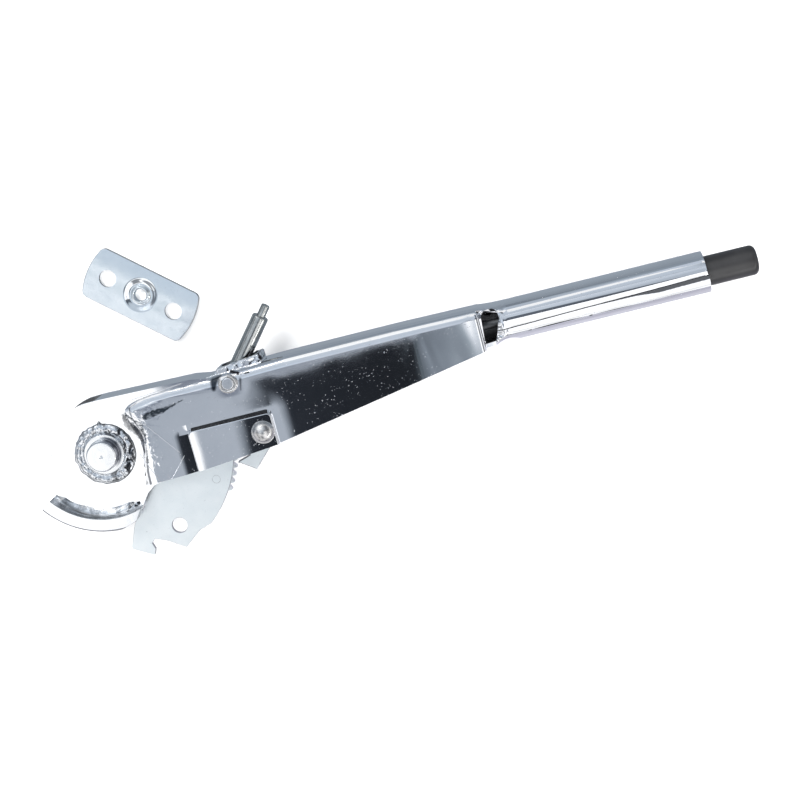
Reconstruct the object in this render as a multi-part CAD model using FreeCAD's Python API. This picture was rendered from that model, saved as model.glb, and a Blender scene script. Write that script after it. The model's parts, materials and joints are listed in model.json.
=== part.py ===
import FreeCAD, Part
import math
import os

# Parking-brake hand lever lying on its side, with its loose fixing plate. Millimetres.
# +Z is up and runs along the pivot shaft, +X runs along the grip towards the button.
# Z = 0 is the end face of the lower stub. Shapes are built about the lever's middle plane,
# then lifted by MID_Z when they are written.

V = FreeCAD.Vector
NEAR = 1
FAR = -1

# --- clearances -------------------------------------------------------------------------
RUN_FIT = 0.05           # radial clearance of turning and sliding fits
SIDE_GAP = 0.05          # side clearance of turning parts
TIP_GAP = 0.35           # pawl nose to tooth tips, button out
ROD_GAP = 0.25           # rod end cap to pawl arm

# --- widths of the folded sheet ---------------------------------------------------------
SHEET = 2.5
CHEEK_HALF = 12.0        # outer face of the flat cheeks from the middle plane
JOGGLE = 2.0             # step from the cheeks out to the channel walls
CHANNEL_HALF = CHEEK_HALF + JOGGLE

# --- pivot shaft ------------------------------------------------------------------------
SHAFT_R = 13.0
SHAFT_SHOULDER_Z = CHEEK_HALF + 2.6
STUB_LENGTH = 7.4
MID_Z = SHAFT_SHOULDER_Z + STUB_LENGTH   # middle plane above the lower stub's end
STUB_R = 9.75
STUB_CHAMFER = 0.8       # upper stub only, the lower one ends square on the resting plane
CENTRE_R = 1.2
CENTRE_DEPTH = 1.0

# --- folded lever shell -----------------------------------------------------------------
CHANNEL_EDGE_R = 7.0     # outer bend radius of the channel
WEB_X0 = -3.0
WEB_X1 = 66.0
WEB_Y0 = 34.5
WEB_Y1 = 33.1
CHEEK_RIM = ((110, 34.7), (135, 35.4), (163, 36.9), (185, 39.2), (200.5, 39.4))
CHANNEL_TOP = ((27.4, -26.6, 0), (24.0, -8.0, 40), (22.6, 5.0, 25), (12.8, 24.2, 8.5), (50.0, 29.0, 60),
               (75.0, 32.0, 100), (125.0, 33.9, 400), (200.0, 34.1, 400), (252.0, 33.5, 0))
CHANNEL_BOTTOM = ((252.0, 6.4, 0), (180.2, -7.0, 400), (110.8, -19.6, 150), (56.1, -25.0, 150))
MOUTH_X = 251.0          # channel end, where the sheet starts to roll into the grip
ROLL_X = 268.0           # start of the full round grip

# --- grip tube --------------------------------------------------------------------------
GRIP_Y = 20.2
GRIP_R = 13.0
GRIP_END_X = 395.0
SEAM_WIDTH = 0.6
SEAM_Y0 = 16.8
SEAM_Y1 = 19.6
WINDOW = ((251.4, -8.0), (252.2, 12.0), (253.4, 31.0), (263.2, 31.0), (264.0, 26.0), (261.5, 17.0),
          (258.5, 8.0), (257.5, -8.0))
WINDOW_CORNER_R = 4.0
WINDOW_FLOOR_Z = 3.0
HEEL_X = 266.5
HEEL_Y = -2.5
HEEL_R = 12.5

# --- raised boss panels round the pawl rivet --------------------------------------------
BOSS_X0 = 56.3
BOSS_X1 = 111.4
BOSS_TOP_Y = 2.1
BOSS_RISE = 2.5
BOSS_CORNER_R = 3.5
BOSS_EDGE_R = 1.2

# --- cable pin --------------------------------------------------------------------------
PIN_X = 89.8
PIN_Y = 25.4
PIN_R = 4.0
PIN_HALF = CHANNEL_HALF + 2.4
PIN_CHAMFER = 0.6

# --- slot and lip for the cable swivel --------------------------------------------------
SLOT_X0 = PIN_X - PIN_R + 0.2
SLOT_X1 = 111.0
SLOT_HALF = 6.4           # half width, swivel rod and 1.1 clearance
LIP_WIDTH = 2.8
LIP_LOW_Y = 35.2
LIP_TOP_Y = 38.9
LIP_BASE_Y = 31.2
LIP_EDGE_R = 1.4

# --- cable quadrant ---------------------------------------------------------------------
QUAD_X = -1.7
QUAD_Y = 8.2
QUAD_IN_R = 49.6
QUAD_OUT_R = 58.0
QUAD_A0 = 215.5
QUAD_A1 = 293.0
QUAD_TAIL = ((-3.5, -50.3), (8.8, -46.4), (16.4, -35.5), (30.0, -40.0), (20.0, -62.0), (-4.0, -62.0))
QUAD_Z0 = CHEEK_HALF - 4.0
QUAD_Z1 = CHEEK_HALF + 6.0
QUAD_CHAMFER = 1.0
BEAD_WIDTH = 7.3
BEAD_RISE = 3.4
PIVOT_BEAD_R = SHAFT_R + 7.6
PIVOT_BEAD_RISE = 2.4

# --- toothed sector ---------------------------------------------------------------------
SECTOR_R = 81.3
SECTOR_PLATE_T = 3.0
SEGMENT_T = 4.0
SECTOR_JOIN_Z = 0.5      # joint face between front plate and toothed segment
HUB_R = SHAFT_R + 11.0
TIP_R = SECTOR_R + 2.1
ROOT_R = SECTOR_R - 1.1
SEGMENT_IN_R = 64.0
TOOTH_PITCH = 3.55
TOOTH_FIRST = -32.6
TOOTH_COUNT = 11
SECTOR_TOP_A = 6.4
SECTOR_FOOT = ((51.7, -62.5), (43.8, -65.1), (37.8, -69.4), (31.6, -74.4), (26.7, -71.2), (20.3, -67.0),
               (12.7, -64.0), (10.2, -66.5), (11.4, -70.7), (9.9, -74.8), (-4.0, -67.0), (3.0, -50.8),
               (12.8, -40.7), (8.0, -26.0))
SECTOR_HOLE_X = 31.3
SECTOR_HOLE_Y = -59.0
SECTOR_HOLE_R = 5.15
RIVET_R = 2.5
RIVET_RING_R = 72.0
RIVET_ANGLES = (-29.0, -12.0, 2.5)
SPACER_OUT_R = SHAFT_R + 5.0

# --- pawl -------------------------------------------------------------------------------
PAWL_X = 103.3
PAWL_Y = -9.7
PAWL_Z0 = -3.8
PAWL_Z1 = 1.2
PAWL_RIVET_R = 4.0
PAWL_HEAD_R = PAWL_RIVET_R + 3.5
PAWL_HEAD_H = 4.4
PAWL_SPACER_R = PAWL_RIVET_R + 1.4
NOSE_A = -19.4
ARM_LEFT_X = 102.0
ARM_RIGHT_X = 108.2
ARM_TOP_Y = 24.0
PAWL_FOOT = ((82.9, -30.4), (89.9, -35.3), (101.0, -24.2), (112.0, -14.0), (111.5, -4.0))
PAWL_BACK = ((101.0, 6.0), (95.0, -3.5), (93.5, -13.0), (87.9, -25.1))

# --- cable swivel -----------------------------------------------------------------------
CLIP_WIRE_R = 1.1
CLIP_SWEEP = 300.0
SWIVEL_A = 50.0
SWIVEL_R = 5.3
SWIVEL_EYE_R = PIN_R + 1.7
SWIVEL_LENGTH = 45.2
SWIVEL_SHOULDER_R = 1.2
NECK_R = 2.8
NECK_LENGTH = 7.8
NECK_HOLE_R = 0.9
NECK_HOLE_DEPTH = 3.0
PIN_SPACER_R = PIN_R + 1.6

# --- push rod, button and spring --------------------------------------------------------
ROD_R = 3.0
CAP_R = ROD_R + 1.5
CAP_LENGTH = 9.0
BUTTON_R = GRIP_R - SHEET - 1.15
BUTTON_X0 = GRIP_END_X - 6.0
BUTTON_X1 = GRIP_END_X + 31.5
BUTTON_EDGE_R = 3.5
ROD_IN_BUTTON = 16.0
BUSH_X1 = BUTTON_X0 - 6.5
BUSH_X0 = BUSH_X1 - 16.5
GUIDE_X0 = 196.0
GUIDE_X1 = 200.0
GUIDE_FOOT_Y = 6.0
SPRING_LENGTH = 38.0
SPRING_WIRE_R = 0.8
SPRING_R = ROD_R + 2.2
SPRING_TURNS = 9
WASHER_R = ROD_R + 4.5
WASHER_T = 1.5
SEAT_PIN_R = 1.25
SEAT_PIN_HALF = ROD_R + 3.0

# --- loose fixing plate -----------------------------------------------------------------
PLATE_X = 43.3
PLATE_Y = 89.9
PLATE_A = -40.8
PLATE_LENGTH = 74.8
PLATE_WIDTH = 34.6
PLATE_END_BULGE = 3.4
PLATE_CORNER_R = 4.0
PLATE_T = 2.5
PLATE_EDGE_R = 0.5
PLATE_HOLE_R = 5.6
PLATE_PITCH = 46.8
DISH_R = 11.4
DISH_DEPTH = 1.2
DISH_FLAT_R = 7.6
COLLAR_BORE_R = 4.0
COLLAR_R = COLLAR_BORE_R + 1.8
COLLAR_RISE = 1.3


def prism(points, z0, z1):
    """A straight-sided block from corner points."""
    corners = [V(p[0], p[1], z0) for p in points]
    face = Part.Face(Part.makePolygon(corners + [corners[0]]))
    return face.extrude(V(0, 0, z1 - z0))


def disc(x, y, r, z0, z1):
    return Part.makeCylinder(r, z1 - z0, V(x, y, z0), V(0, 0, 1))


def bar(x0, x1, r):
    """A round bar on the grip's axis."""
    return Part.makeCylinder(r, x1 - x0, V(x0, GRIP_Y, 0), V(1, 0, 0))


def box(x0, x1, y0, y1, z0, z1):
    return Part.makeBox(x1 - x0, y1 - y0, z1 - z0, V(x0, y0, z0))


def upright_edges(solid, x, y):
    """Edges parallel to Z that stand at a point."""
    found = []
    for edge in solid.Edges:
        a = edge.Vertexes[0].Point
        b = edge.Vertexes[-1].Point
        if abs(a.z - b.z) > 0.5 and abs(a.x - x) < 0.02 and abs(a.y - y) < 0.02:
            if abs(b.x - x) < 0.02 and abs(b.y - y) < 0.02:
                found.append(edge)
    return found


def round_corners(solid, corners):
    """Rounds the upright corners given as (x, y, radius)."""
    for x, y, r in corners:
        if r > 0:
            edges = upright_edges(solid, x, y)
            if edges:
                solid = solid.makeFillet(r, edges)
    return solid


def flat_edges(solid, z):
    """Edges that lie in the plane at height z."""
    found = []
    for edge in solid.Edges:
        box_ = edge.BoundBox
        if abs(box_.ZMin - z) < 0.01 and abs(box_.ZMax - z) < 0.01:
            found.append(edge)
    return found


def middle(edge):
    return edge.valueAt((edge.FirstParameter + edge.LastParameter) / 2.0)


def polar(r, degrees, cx=0.0, cy=0.0):
    a = math.radians(degrees)
    return (cx + r * math.cos(a), cy + r * math.sin(a))


def offset_chain(chain, distance):
    """Shifts an open chain of corners to its right-hand side, radii included."""
    moved = []
    for i in range(len(chain)):
        before = chain[max(i - 1, 0)]
        here = chain[i]
        after = chain[min(i + 1, len(chain) - 1)]
        d1 = V(here[0] - before[0], here[1] - before[1], 0)
        d2 = V(after[0] - here[0], after[1] - here[1], 0)
        if d1.Length < 1e-6:
            d1 = V(d2)
        if d2.Length < 1e-6:
            d2 = V(d1)
        d1.normalize()
        d2.normalize()
        n1 = V(d1.y, -d1.x, 0)
        n2 = V(d2.y, -d2.x, 0)
        both = n1 + n2
        scale = 2.0 * distance / (both.Length * both.Length)
        turn = d1.x * d2.y - d1.y * d2.x
        radius = here[2]
        if radius > 0:
            radius = radius + distance if turn > 0 else radius - distance
        moved.append((here[0] + both.x * scale, here[1] + both.y * scale, radius))
    return moved


def rounded_face(points, z):
    """Face with the corners (x, y, radius) rounded by arcs."""
    count = len(points)
    edges = []
    last = None
    first = None
    for i in range(count):
        here = V(points[i][0], points[i][1], z)
        before = V(points[i - 1][0], points[i - 1][1], z)
        after = V(points[(i + 1) % count][0], points[(i + 1) % count][1], z)
        r = points[i][2]
        d1 = (before - here).normalize()
        d2 = (after - here).normalize()
        half = d1.getAngle(d2) / 2.0
        if r > 0 and half < math.pi / 2.0 - 1e-4:
            reach = r / math.tan(half)
            start = here + d1 * reach
            end = here + d2 * reach
            mid_way = (d1 + d2).normalize()
            mid = here + mid_way * (r / math.sin(half) - r)
        else:
            start = here
            end = here
            mid = None
        if last is None:
            first = start
        else:
            edges.append(Part.LineSegment(last, start).toShape())
        if mid is not None:
            edges.append(Part.Arc(start, mid, end).toShape())
        last = end
    edges.append(Part.LineSegment(last, first).toShape())
    return Part.Face(Part.Wire(edges))


def channel_block(chain, below, half, edge_r):
    """Channel body from its left and top chain, with bent edges."""
    points = list(chain) + list(below)
    body = rounded_face(points, -half).extrude(V(0, 0, 2.0 * half))
    picked = []
    for z in (-half, half):
        for edge in flat_edges(body, z):
            m = middle(edge)
            on_left = m.x < 30.0 and m.y > -24.0
            on_top = m.y > 24.0 and m.x < chain[-1][0] - 0.1
            if on_left or on_top:
                picked.append(edge)
    return body.makeFillet(edge_r, picked)


def box_section(x, y0, y1, half, r):
    """Rounded rectangle across X as eight edges."""
    k = r * (1.0 - math.sqrt(0.5))
    edges = []
    lines = ((V(x, y1, half - r), V(x, y1, -half + r)),
             (V(x, y1 - r, -half), V(x, y0 + r, -half)),
             (V(x, y0, -half + r), V(x, y0, half - r)),
             (V(x, y0 + r, half), V(x, y1 - r, half)))
    mids = (V(x, y1 - k, -half + k), V(x, y0 + k, -half + k), V(x, y0 + k, half - k), V(x, y1 - k, half - k))
    for i in range(4):
        start, end = lines[i]
        following = lines[(i + 1) % 4][0]
        edges.append(Part.LineSegment(start, end).toShape())
        edges.append(Part.Arc(end, mids[i], following).toShape())
    return Part.Wire(edges)


def round_section(x, r):
    """Circle across X as eight arcs that match the rounded rectangle."""
    edges = []
    half_flat = 28.0
    for i in range(4):
        side = 90.0 * i
        for a0, a1 in ((side - half_flat, side + half_flat), (side + half_flat, side + 90.0 - half_flat)):
            pts = []
            for a in (a0, (a0 + a1) / 2.0, a1):
                t = math.radians(a)
                pts.append(V(x, GRIP_Y + r * math.cos(t), -r * math.sin(t)))
            edges.append(Part.Arc(pts[0], pts[1], pts[2]).toShape())
    return Part.Wire(edges)


def roll_block(inset):
    """The stretch where the channel rolls into the grip."""
    top = CHANNEL_TOP[-1][1] - inset
    bottom = CHANNEL_BOTTOM[0][1] + inset
    first = box_section(MOUTH_X, bottom, top, CHANNEL_HALF - inset, CHANNEL_EDGE_R - inset)
    last = round_section(ROLL_X, GRIP_R - inset)
    return Part.makeLoft([first, last], True, True)


def below_channel():
    """Everything under the channel's open edge."""
    edge = list(CHANNEL_BOTTOM) + [CHANNEL_TOP[0]]
    points = [(p[0], p[1]) for p in edge] + [(CHANNEL_TOP[0][0], -70.0), (MOUTH_X + 1.0, -70.0)]
    return prism(points, -30.0, 30.0)


def cheek_outline():
    """Outline of the flat cheeks: web edge, round rim and quadrant seat."""
    start = V(WEB_X1, WEB_Y1, 0)
    top = V(0.0, WEB_Y0, 0)
    rim = [top]
    for a, r in CHEEK_RIM:
        x, y = polar(r, a)
        rim.append(V(x, y, 0))
    seat = polar(QUAD_IN_R, QUAD_A0 + 1.0, QUAD_X, QUAD_Y)
    low = polar(QUAD_IN_R, 250.0, QUAD_X, QUAD_Y)
    end = polar(QUAD_IN_R, QUAD_A1 - 4.5, QUAD_X, QUAD_Y)
    curve = Part.BSplineCurve()
    curve.interpolate(Points=rim)
    step = Part.LineSegment(rim[-1], V(seat[0], seat[1], 0))
    arc = Part.Arc(V(seat[0], seat[1], 0), V(low[0], low[1], 0), V(end[0], end[1], 0))
    tail = [V(end[0], end[1], 0), V(19.5, -31.7, 0), V(25.0, -27.7, 0), V(32.0, -26.1, 0),
            V(31.0, -8.0, 0), V(29.5, 7.0, 0), V(24.0, 18.0, 0), V(29.0, 22.0, 0), V(66.0, 26.0, 0), start]
    edges = [Part.LineSegment(start, top).toShape(), curve.toShape(), step.toShape(), arc.toShape()]
    for i in range(len(tail) - 1):
        edges.append(Part.LineSegment(tail[i], tail[i + 1]).toShape())
    return Part.Wire(edges)


def cheek_block():
    """Both cheeks and the web strip as one block, before hollowing."""
    face = Part.Face(cheek_outline())
    body = face.extrude(V(0, 0, 2.0 * CHEEK_HALF))
    body.translate(V(0, 0, -CHEEK_HALF))
    bridge = [(WEB_X0, WEB_Y0 - 3.5), (WEB_X0 + 1.0, WEB_Y0), (0.0, WEB_Y0), (WEB_X1, WEB_Y1),
              (78.0, 31.0), (78.0, 20.0), (24.0, 18.0)]
    return body.fuse(prism(bridge, -CHEEK_HALF, CHEEK_HALF)).removeSplitter()


def cheek_hollow():
    """Space between the cheeks, under the web strip."""
    half = CHEEK_HALF - SHEET
    slope = (WEB_Y1 - WEB_Y0) / WEB_X1
    right_y = WEB_Y0 + slope * 76.0 - SHEET - 0.6
    points = [(-70.0, -70.0), (76.0, -70.0), (76.0, right_y), (WEB_X0, WEB_Y0 - SHEET), (WEB_X0, 60.0),
              (-70.0, 60.0)]
    return prism(points, -half, half)


def boss_pad(side):
    """Raised panel on one channel wall."""
    z0 = CHANNEL_HALF - 1.0
    z1 = CHANNEL_HALF + BOSS_RISE
    points = [(BOSS_X0, -40.0), (BOSS_X0, BOSS_TOP_Y), (BOSS_X1, BOSS_TOP_Y), (BOSS_X1, -40.0)]
    pad = prism(points, z0, z1)
    pad = round_corners(pad, [(BOSS_X0, BOSS_TOP_Y, BOSS_CORNER_R), (BOSS_X1, BOSS_TOP_Y, BOSS_CORNER_R)])
    rim = [e for e in flat_edges(pad, z1) if middle(e).y > -39.0]
    pad = pad.makeFillet(BOSS_EDGE_R, rim)
    pad = pad.cut(below_channel())
    if side == FAR:
        pad = pad.mirror(V(0, 0, 0), V(0, 0, 1))
    return pad


def boss_pocket(side):
    z0 = CHANNEL_HALF - SHEET - 1.0
    z1 = CHANNEL_HALF + BOSS_RISE - SHEET
    points = [(BOSS_X0 + SHEET, -60.0), (BOSS_X0 + SHEET, BOSS_TOP_Y - SHEET),
              (BOSS_X1 - SHEET, BOSS_TOP_Y - SHEET), (BOSS_X1 - SHEET, -60.0)]
    pocket = prism(points, z0, z1)
    pocket = round_corners(pocket, [(p[0], p[1], 1.2) for p in points[1:3]])
    if side == FAR:
        pocket = pocket.mirror(V(0, 0, 0), V(0, 0, 1))
    return pocket


def slot_lip():
    """Raised lip round the swivel slot, with a ramp on its left."""
    half = SLOT_HALF + LIP_WIDTH
    x0 = SLOT_X0 - LIP_WIDTH
    x1 = SLOT_X1 + LIP_WIDTH
    lip = prism([(x0, LIP_BASE_Y), (x1, LIP_BASE_Y), (x1, LIP_TOP_Y), (x0, LIP_LOW_Y)], -half, half)
    upper = [e for e in lip.Edges if middle(e).y > LIP_BASE_Y + 0.5]
    lip = lip.makeFillet(LIP_EDGE_R, upper)
    ramp = prism([(x0 - 3.0, LIP_BASE_Y), (x0 + 2.0, LIP_BASE_Y), (x0 + 2.0, LIP_LOW_Y - 0.4),
                  (x0 + 0.5, LIP_LOW_Y - 1.0)], -SLOT_HALF, SLOT_HALF)
    return lip.fuse(ramp)


def slot_hole():
    hole = box(SLOT_X0, SLOT_X1, LIP_BASE_Y - 8.0, LIP_TOP_Y + 5.0, -SLOT_HALF, SLOT_HALF)
    sides = [e for e in hole.Edges if e.BoundBox.YLength > 5.0]
    return hole.makeFillet(2.5, sides)


def window_block():
    """Relief opening in the near wall, where the roll starts."""
    hole = prism(WINDOW, WINDOW_FLOOR_Z, CHANNEL_HALF + 3.0)
    return round_corners(hole, [(WINDOW[2][0], WINDOW[2][1], WINDOW_CORNER_R),
                                (WINDOW[3][0], WINDOW[3][1], WINDOW_CORNER_R)])


def seam_block():
    """Slit where the two rolled edges of the grip meet."""
    angle = math.degrees(math.atan2(SEAM_Y1 - SEAM_Y0, GRIP_END_X - ROLL_X))
    length = GRIP_END_X - ROLL_X + 18.0
    slit = Part.makeBox(length, SEAM_WIDTH, GRIP_R, V(ROLL_X - 9.0, SEAM_Y0 - SEAM_WIDTH / 2.0, 4.0))
    slit.rotate(V(ROLL_X, SEAM_Y0, 0), V(0, 0, 1), angle)
    return slit


def channel_inner():
    """The channel's inside, open below."""
    chain = offset_chain(CHANNEL_TOP, SHEET)
    chain[0] = (chain[0][0], -60.0, 0)
    chain[-1] = (MOUTH_X + 1.0, chain[-1][1], 0)
    below = [(MOUTH_X + 1.0, -60.0, 0)]
    return channel_block(chain, below, CHANNEL_HALF - SHEET, CHANNEL_EDGE_R - SHEET)


def lever_shell():
    """One folded sheet: cheeks, web strip, channel and rolled grip."""
    body = channel_block(CHANNEL_TOP, CHANNEL_BOTTOM, CHANNEL_HALF, CHANNEL_EDGE_R)
    body = body.fuse([cheek_block(), roll_block(0.0), bar(ROLL_X, GRIP_END_X, GRIP_R), slot_lip(),
                      boss_pad(NEAR), boss_pad(FAR)])
    heel = disc(HEEL_X, HEEL_Y, HEEL_R, -CHANNEL_HALF - 2.0, CHANNEL_HALF + 2.0)
    tools = [cheek_hollow(), channel_inner(), roll_block(SHEET), bar(ROLL_X, GRIP_END_X + 1.0, GRIP_R - SHEET),
             boss_pocket(NEAR), boss_pocket(FAR), slot_hole(), window_block(), seam_block(), heel]
    tools.append(disc(0, 0, SHAFT_R, -30.0, 30.0))
    tools.append(disc(PIN_X, PIN_Y, PIN_R, -30.0, 30.0))
    tools.append(disc(PAWL_X, PAWL_Y, PAWL_RIVET_R, -30.0, 30.0))
    for tool in tools:
        body = body.cut(tool)
    pieces = sorted(body.Solids, key=lambda s: s.Volume)
    return pieces[-1]


def pivot_shaft():
    shaft = disc(0, 0, SHAFT_R, -SHAFT_SHOULDER_Z, SHAFT_SHOULDER_Z)
    shaft = shaft.fuse(disc(0, 0, STUB_R, -MID_Z, MID_Z)).removeSplitter()
    shaft = shaft.makeChamfer(STUB_CHAMFER, flat_edges(shaft, MID_Z))
    shaft = shaft.makeChamfer(0.4, flat_edges(shaft, SHAFT_SHOULDER_Z) + flat_edges(shaft, -SHAFT_SHOULDER_Z))
    for side in (NEAR, FAR):
        dimple = Part.makeCone(CENTRE_R, 0.1, CENTRE_DEPTH, V(0, 0, side * MID_Z), V(0, 0, -side))
        shaft = shaft.cut(dimple)
    return shaft


def bead_profile(r_in, r_out, z0, rise, cx, cy):
    """Rounded weld section in the plane that holds the axis at (cx, cy)."""
    p0 = V(cx + r_in, cy, z0)
    p1 = V(cx + r_in, cy, z0 + rise * 0.75)
    p2 = V(cx + r_in + (r_out - r_in) * 0.45, cy, z0 + rise)
    p3 = V(cx + r_out, cy, z0)
    edges = [Part.LineSegment(p0, p1).toShape(), Part.Arc(p1, p2, p3).toShape(),
             Part.LineSegment(p3, p0).toShape()]
    return Part.Face(Part.Wire(edges))


def pivot_welds():
    """A fillet weld round the shaft on the outside of each cheek."""
    ring = bead_profile(SHAFT_R, PIVOT_BEAD_R, CHEEK_HALF, PIVOT_BEAD_RISE, 0, 0)
    near = ring.revolve(V(0, 0, 0), V(0, 0, 1), 360)
    far = near.mirror(V(0, 0, 0), V(0, 0, 1))
    return Part.makeCompound([near, far])


def cable_quadrant():
    """Curved bar on the rim of the near cheek."""
    section = box(QUAD_X + QUAD_IN_R, QUAD_X + QUAD_OUT_R, QUAD_Y, QUAD_Y + 1.0, QUAD_Z0, QUAD_Z1)
    face = None
    for candidate in section.Faces:
        if abs(candidate.CenterOfMass.y - QUAD_Y) < 0.001:
            face = candidate
    arc = face.revolve(V(QUAD_X, QUAD_Y, 0), V(0, 0, 1), QUAD_A1 - QUAD_A0)
    arc.rotate(V(QUAD_X, QUAD_Y, 0), V(0, 0, 1), QUAD_A0)
    rims = [e for e in flat_edges(arc, QUAD_Z1) + flat_edges(arc, QUAD_Z0) if e.Length > 30.0]
    outer = [e for e in rims if math.hypot(middle(e).x - QUAD_X, middle(e).y - QUAD_Y) > QUAD_OUT_R - 1.0]
    arc = arc.makeChamfer(QUAD_CHAMFER, outer)
    return arc.cut(prism(QUAD_TAIL, QUAD_Z0 - 1.0, QUAD_Z1 + 1.0))


def quadrant_weld():
    """Weld bead inside the quadrant, on the near cheek."""
    section = bead_profile(0.0, BEAD_WIDTH, CHEEK_HALF, BEAD_RISE, 0, 0)
    flip = section.mirror(V(0, 0, 0), V(1, 0, 0))
    flip.translate(V(QUAD_X + QUAD_IN_R, QUAD_Y, 0))
    bead = flip.revolve(V(QUAD_X, QUAD_Y, 0), V(0, 0, 1), QUAD_A1 - QUAD_A0 - 4.5)
    bead.rotate(V(QUAD_X, QUAD_Y, 0), V(0, 0, 1), QUAD_A0 + 0.5)
    return bead.cut(disc(0, 0, PIVOT_BEAD_R + 0.3, 0.0, 30.0))


def shaft_spacers():
    """Rings that centre the sector between the cheeks."""
    top = SECTOR_JOIN_Z + SECTOR_PLATE_T + SIDE_GAP
    bottom = SECTOR_JOIN_Z - SEGMENT_T - SIDE_GAP
    inner = CHEEK_HALF - SHEET
    rings = []
    for z0, z1 in ((top, inner), (-inner, SECTOR_JOIN_Z - SIDE_GAP)):
        rings.append(disc(0, 0, SPACER_OUT_R, z0, z1).cut(disc(0, 0, SHAFT_R, z0 - 1.0, z1 + 1.0)))
    return Part.makeCompound(rings)


def rivet_points():
    return [polar(RIVET_RING_R, a) for a in RIVET_ANGLES]


def sector_plate():
    """Smooth front plate of the sector, with hub, bolt hole and hook."""
    z0 = SECTOR_JOIN_Z
    z1 = SECTOR_JOIN_Z + SECTOR_PLATE_T
    top = polar(SECTOR_R, SECTOR_TOP_A)
    mid = polar(SECTOR_R, -20.0)
    foot = SECTOR_FOOT[0]
    hub_left = polar(HUB_R, 205.0)
    hub_top = polar(HUB_R, 80.0)
    hub_mid = polar(HUB_R, 140.0)
    edges = [Part.Arc(V(top[0], top[1], z0), V(mid[0], mid[1], z0), V(foot[0], foot[1], z0)).toShape()]
    chain = [V(p[0], p[1], z0) for p in SECTOR_FOOT] + [V(hub_left[0], hub_left[1], z0)]
    for i in range(len(chain) - 1):
        edges.append(Part.LineSegment(chain[i], chain[i + 1]).toShape())
    edges.append(Part.Arc(chain[-1], V(hub_mid[0], hub_mid[1], z0), V(hub_top[0], hub_top[1], z0)).toShape())
    edges.append(Part.LineSegment(V(hub_top[0], hub_top[1], z0), V(top[0], top[1], z0)).toShape())
    plate = Part.Face(Part.Wire(edges)).extrude(V(0, 0, z1 - z0))
    soft = [(43.8, -65.1, 4.0), (31.6, -74.4, 1.2), (-4.0, -67.0, 1.5), (3.0, -50.8, 12.0), (20.3, -67.0, 6.0),
            (9.9, -74.8, 0.8)]
    plate = round_corners(plate, soft)
    plate = plate.cut(disc(0, 0, SHAFT_R + RUN_FIT, z0 - 1.0, z1 + 1.0))
    plate = plate.cut(disc(SECTOR_HOLE_X, SECTOR_HOLE_Y, SECTOR_HOLE_R, z0 - 1.0, z1 + 1.0))
    for x, y in rivet_points():
        plate = plate.cut(disc(x, y, RIVET_R, z0 - 1.0, z1 + 1.0))
    return plate


def toothed_segment():
    """Hardened ring segment with saw teeth, behind the front plate."""
    z0 = SECTOR_JOIN_Z - SEGMENT_T
    z1 = SECTOR_JOIN_Z
    points = []
    for i in range(TOOTH_COUNT):
        a = TOOTH_FIRST + i * TOOTH_PITCH
        points.append(polar(ROOT_R, a - 0.32 * TOOTH_PITCH))
        points.append(polar(TIP_R, a))
        points.append(polar(TIP_R, a + 0.16 * TOOTH_PITCH))
        points.append(polar(ROOT_R, a + 0.62 * TOOTH_PITCH))
    last = TOOTH_FIRST + TOOTH_COUNT * TOOTH_PITCH
    first = TOOTH_FIRST - 0.5 * TOOTH_PITCH
    steps = 12
    for i in range(steps + 1):
        a = last + (first - last) * i / steps
        points.append(polar(SEGMENT_IN_R, a))
    ring = prism(points, z0, z1)
    for x, y in rivet_points():
        ring = ring.cut(disc(x, y, RIVET_R, z0 - 1.0, z1 + 1.0))
    return ring


def sector_rivets():
    z0 = SECTOR_JOIN_Z - SEGMENT_T
    z1 = SECTOR_JOIN_Z + SECTOR_PLATE_T
    return Part.makeCompound([disc(x, y, RIVET_R, z0, z1) for x, y in rivet_points()])


def dome_head(side, z0):
    """Rivet head as a flat-bottomed dome."""
    rise = PAWL_HEAD_H
    ball_r = (PAWL_HEAD_R * PAWL_HEAD_R + rise * rise) / (2.0 * rise)
    ball = Part.makeSphere(ball_r, V(PAWL_X, PAWL_Y, z0 + rise - ball_r))
    head = ball.common(disc(PAWL_X, PAWL_Y, PAWL_HEAD_R + 1.0, z0, z0 + rise + 1.0))
    if side == FAR:
        head = head.mirror(V(0, 0, 0), V(0, 0, 1))
    return head


def pawl_rivet():
    seat = CHANNEL_HALF + BOSS_RISE
    shank = disc(PAWL_X, PAWL_Y, PAWL_RIVET_R, -seat, seat)
    return shank.fuse([dome_head(NEAR, seat), dome_head(FAR, seat)]).removeSplitter()


def pawl_spacers():
    inner = CHANNEL_HALF + BOSS_RISE - SHEET
    rings = []
    for z0, z1 in ((PAWL_Z1 + SIDE_GAP, inner), (-inner, PAWL_Z0 - SIDE_GAP)):
        ring = disc(PAWL_X, PAWL_Y, PAWL_SPACER_R, z0, z1)
        rings.append(ring.cut(disc(PAWL_X, PAWL_Y, PAWL_RIVET_R, z0 - 1.0, z1 + 1.0)))
    return Part.makeCompound(rings)


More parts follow.
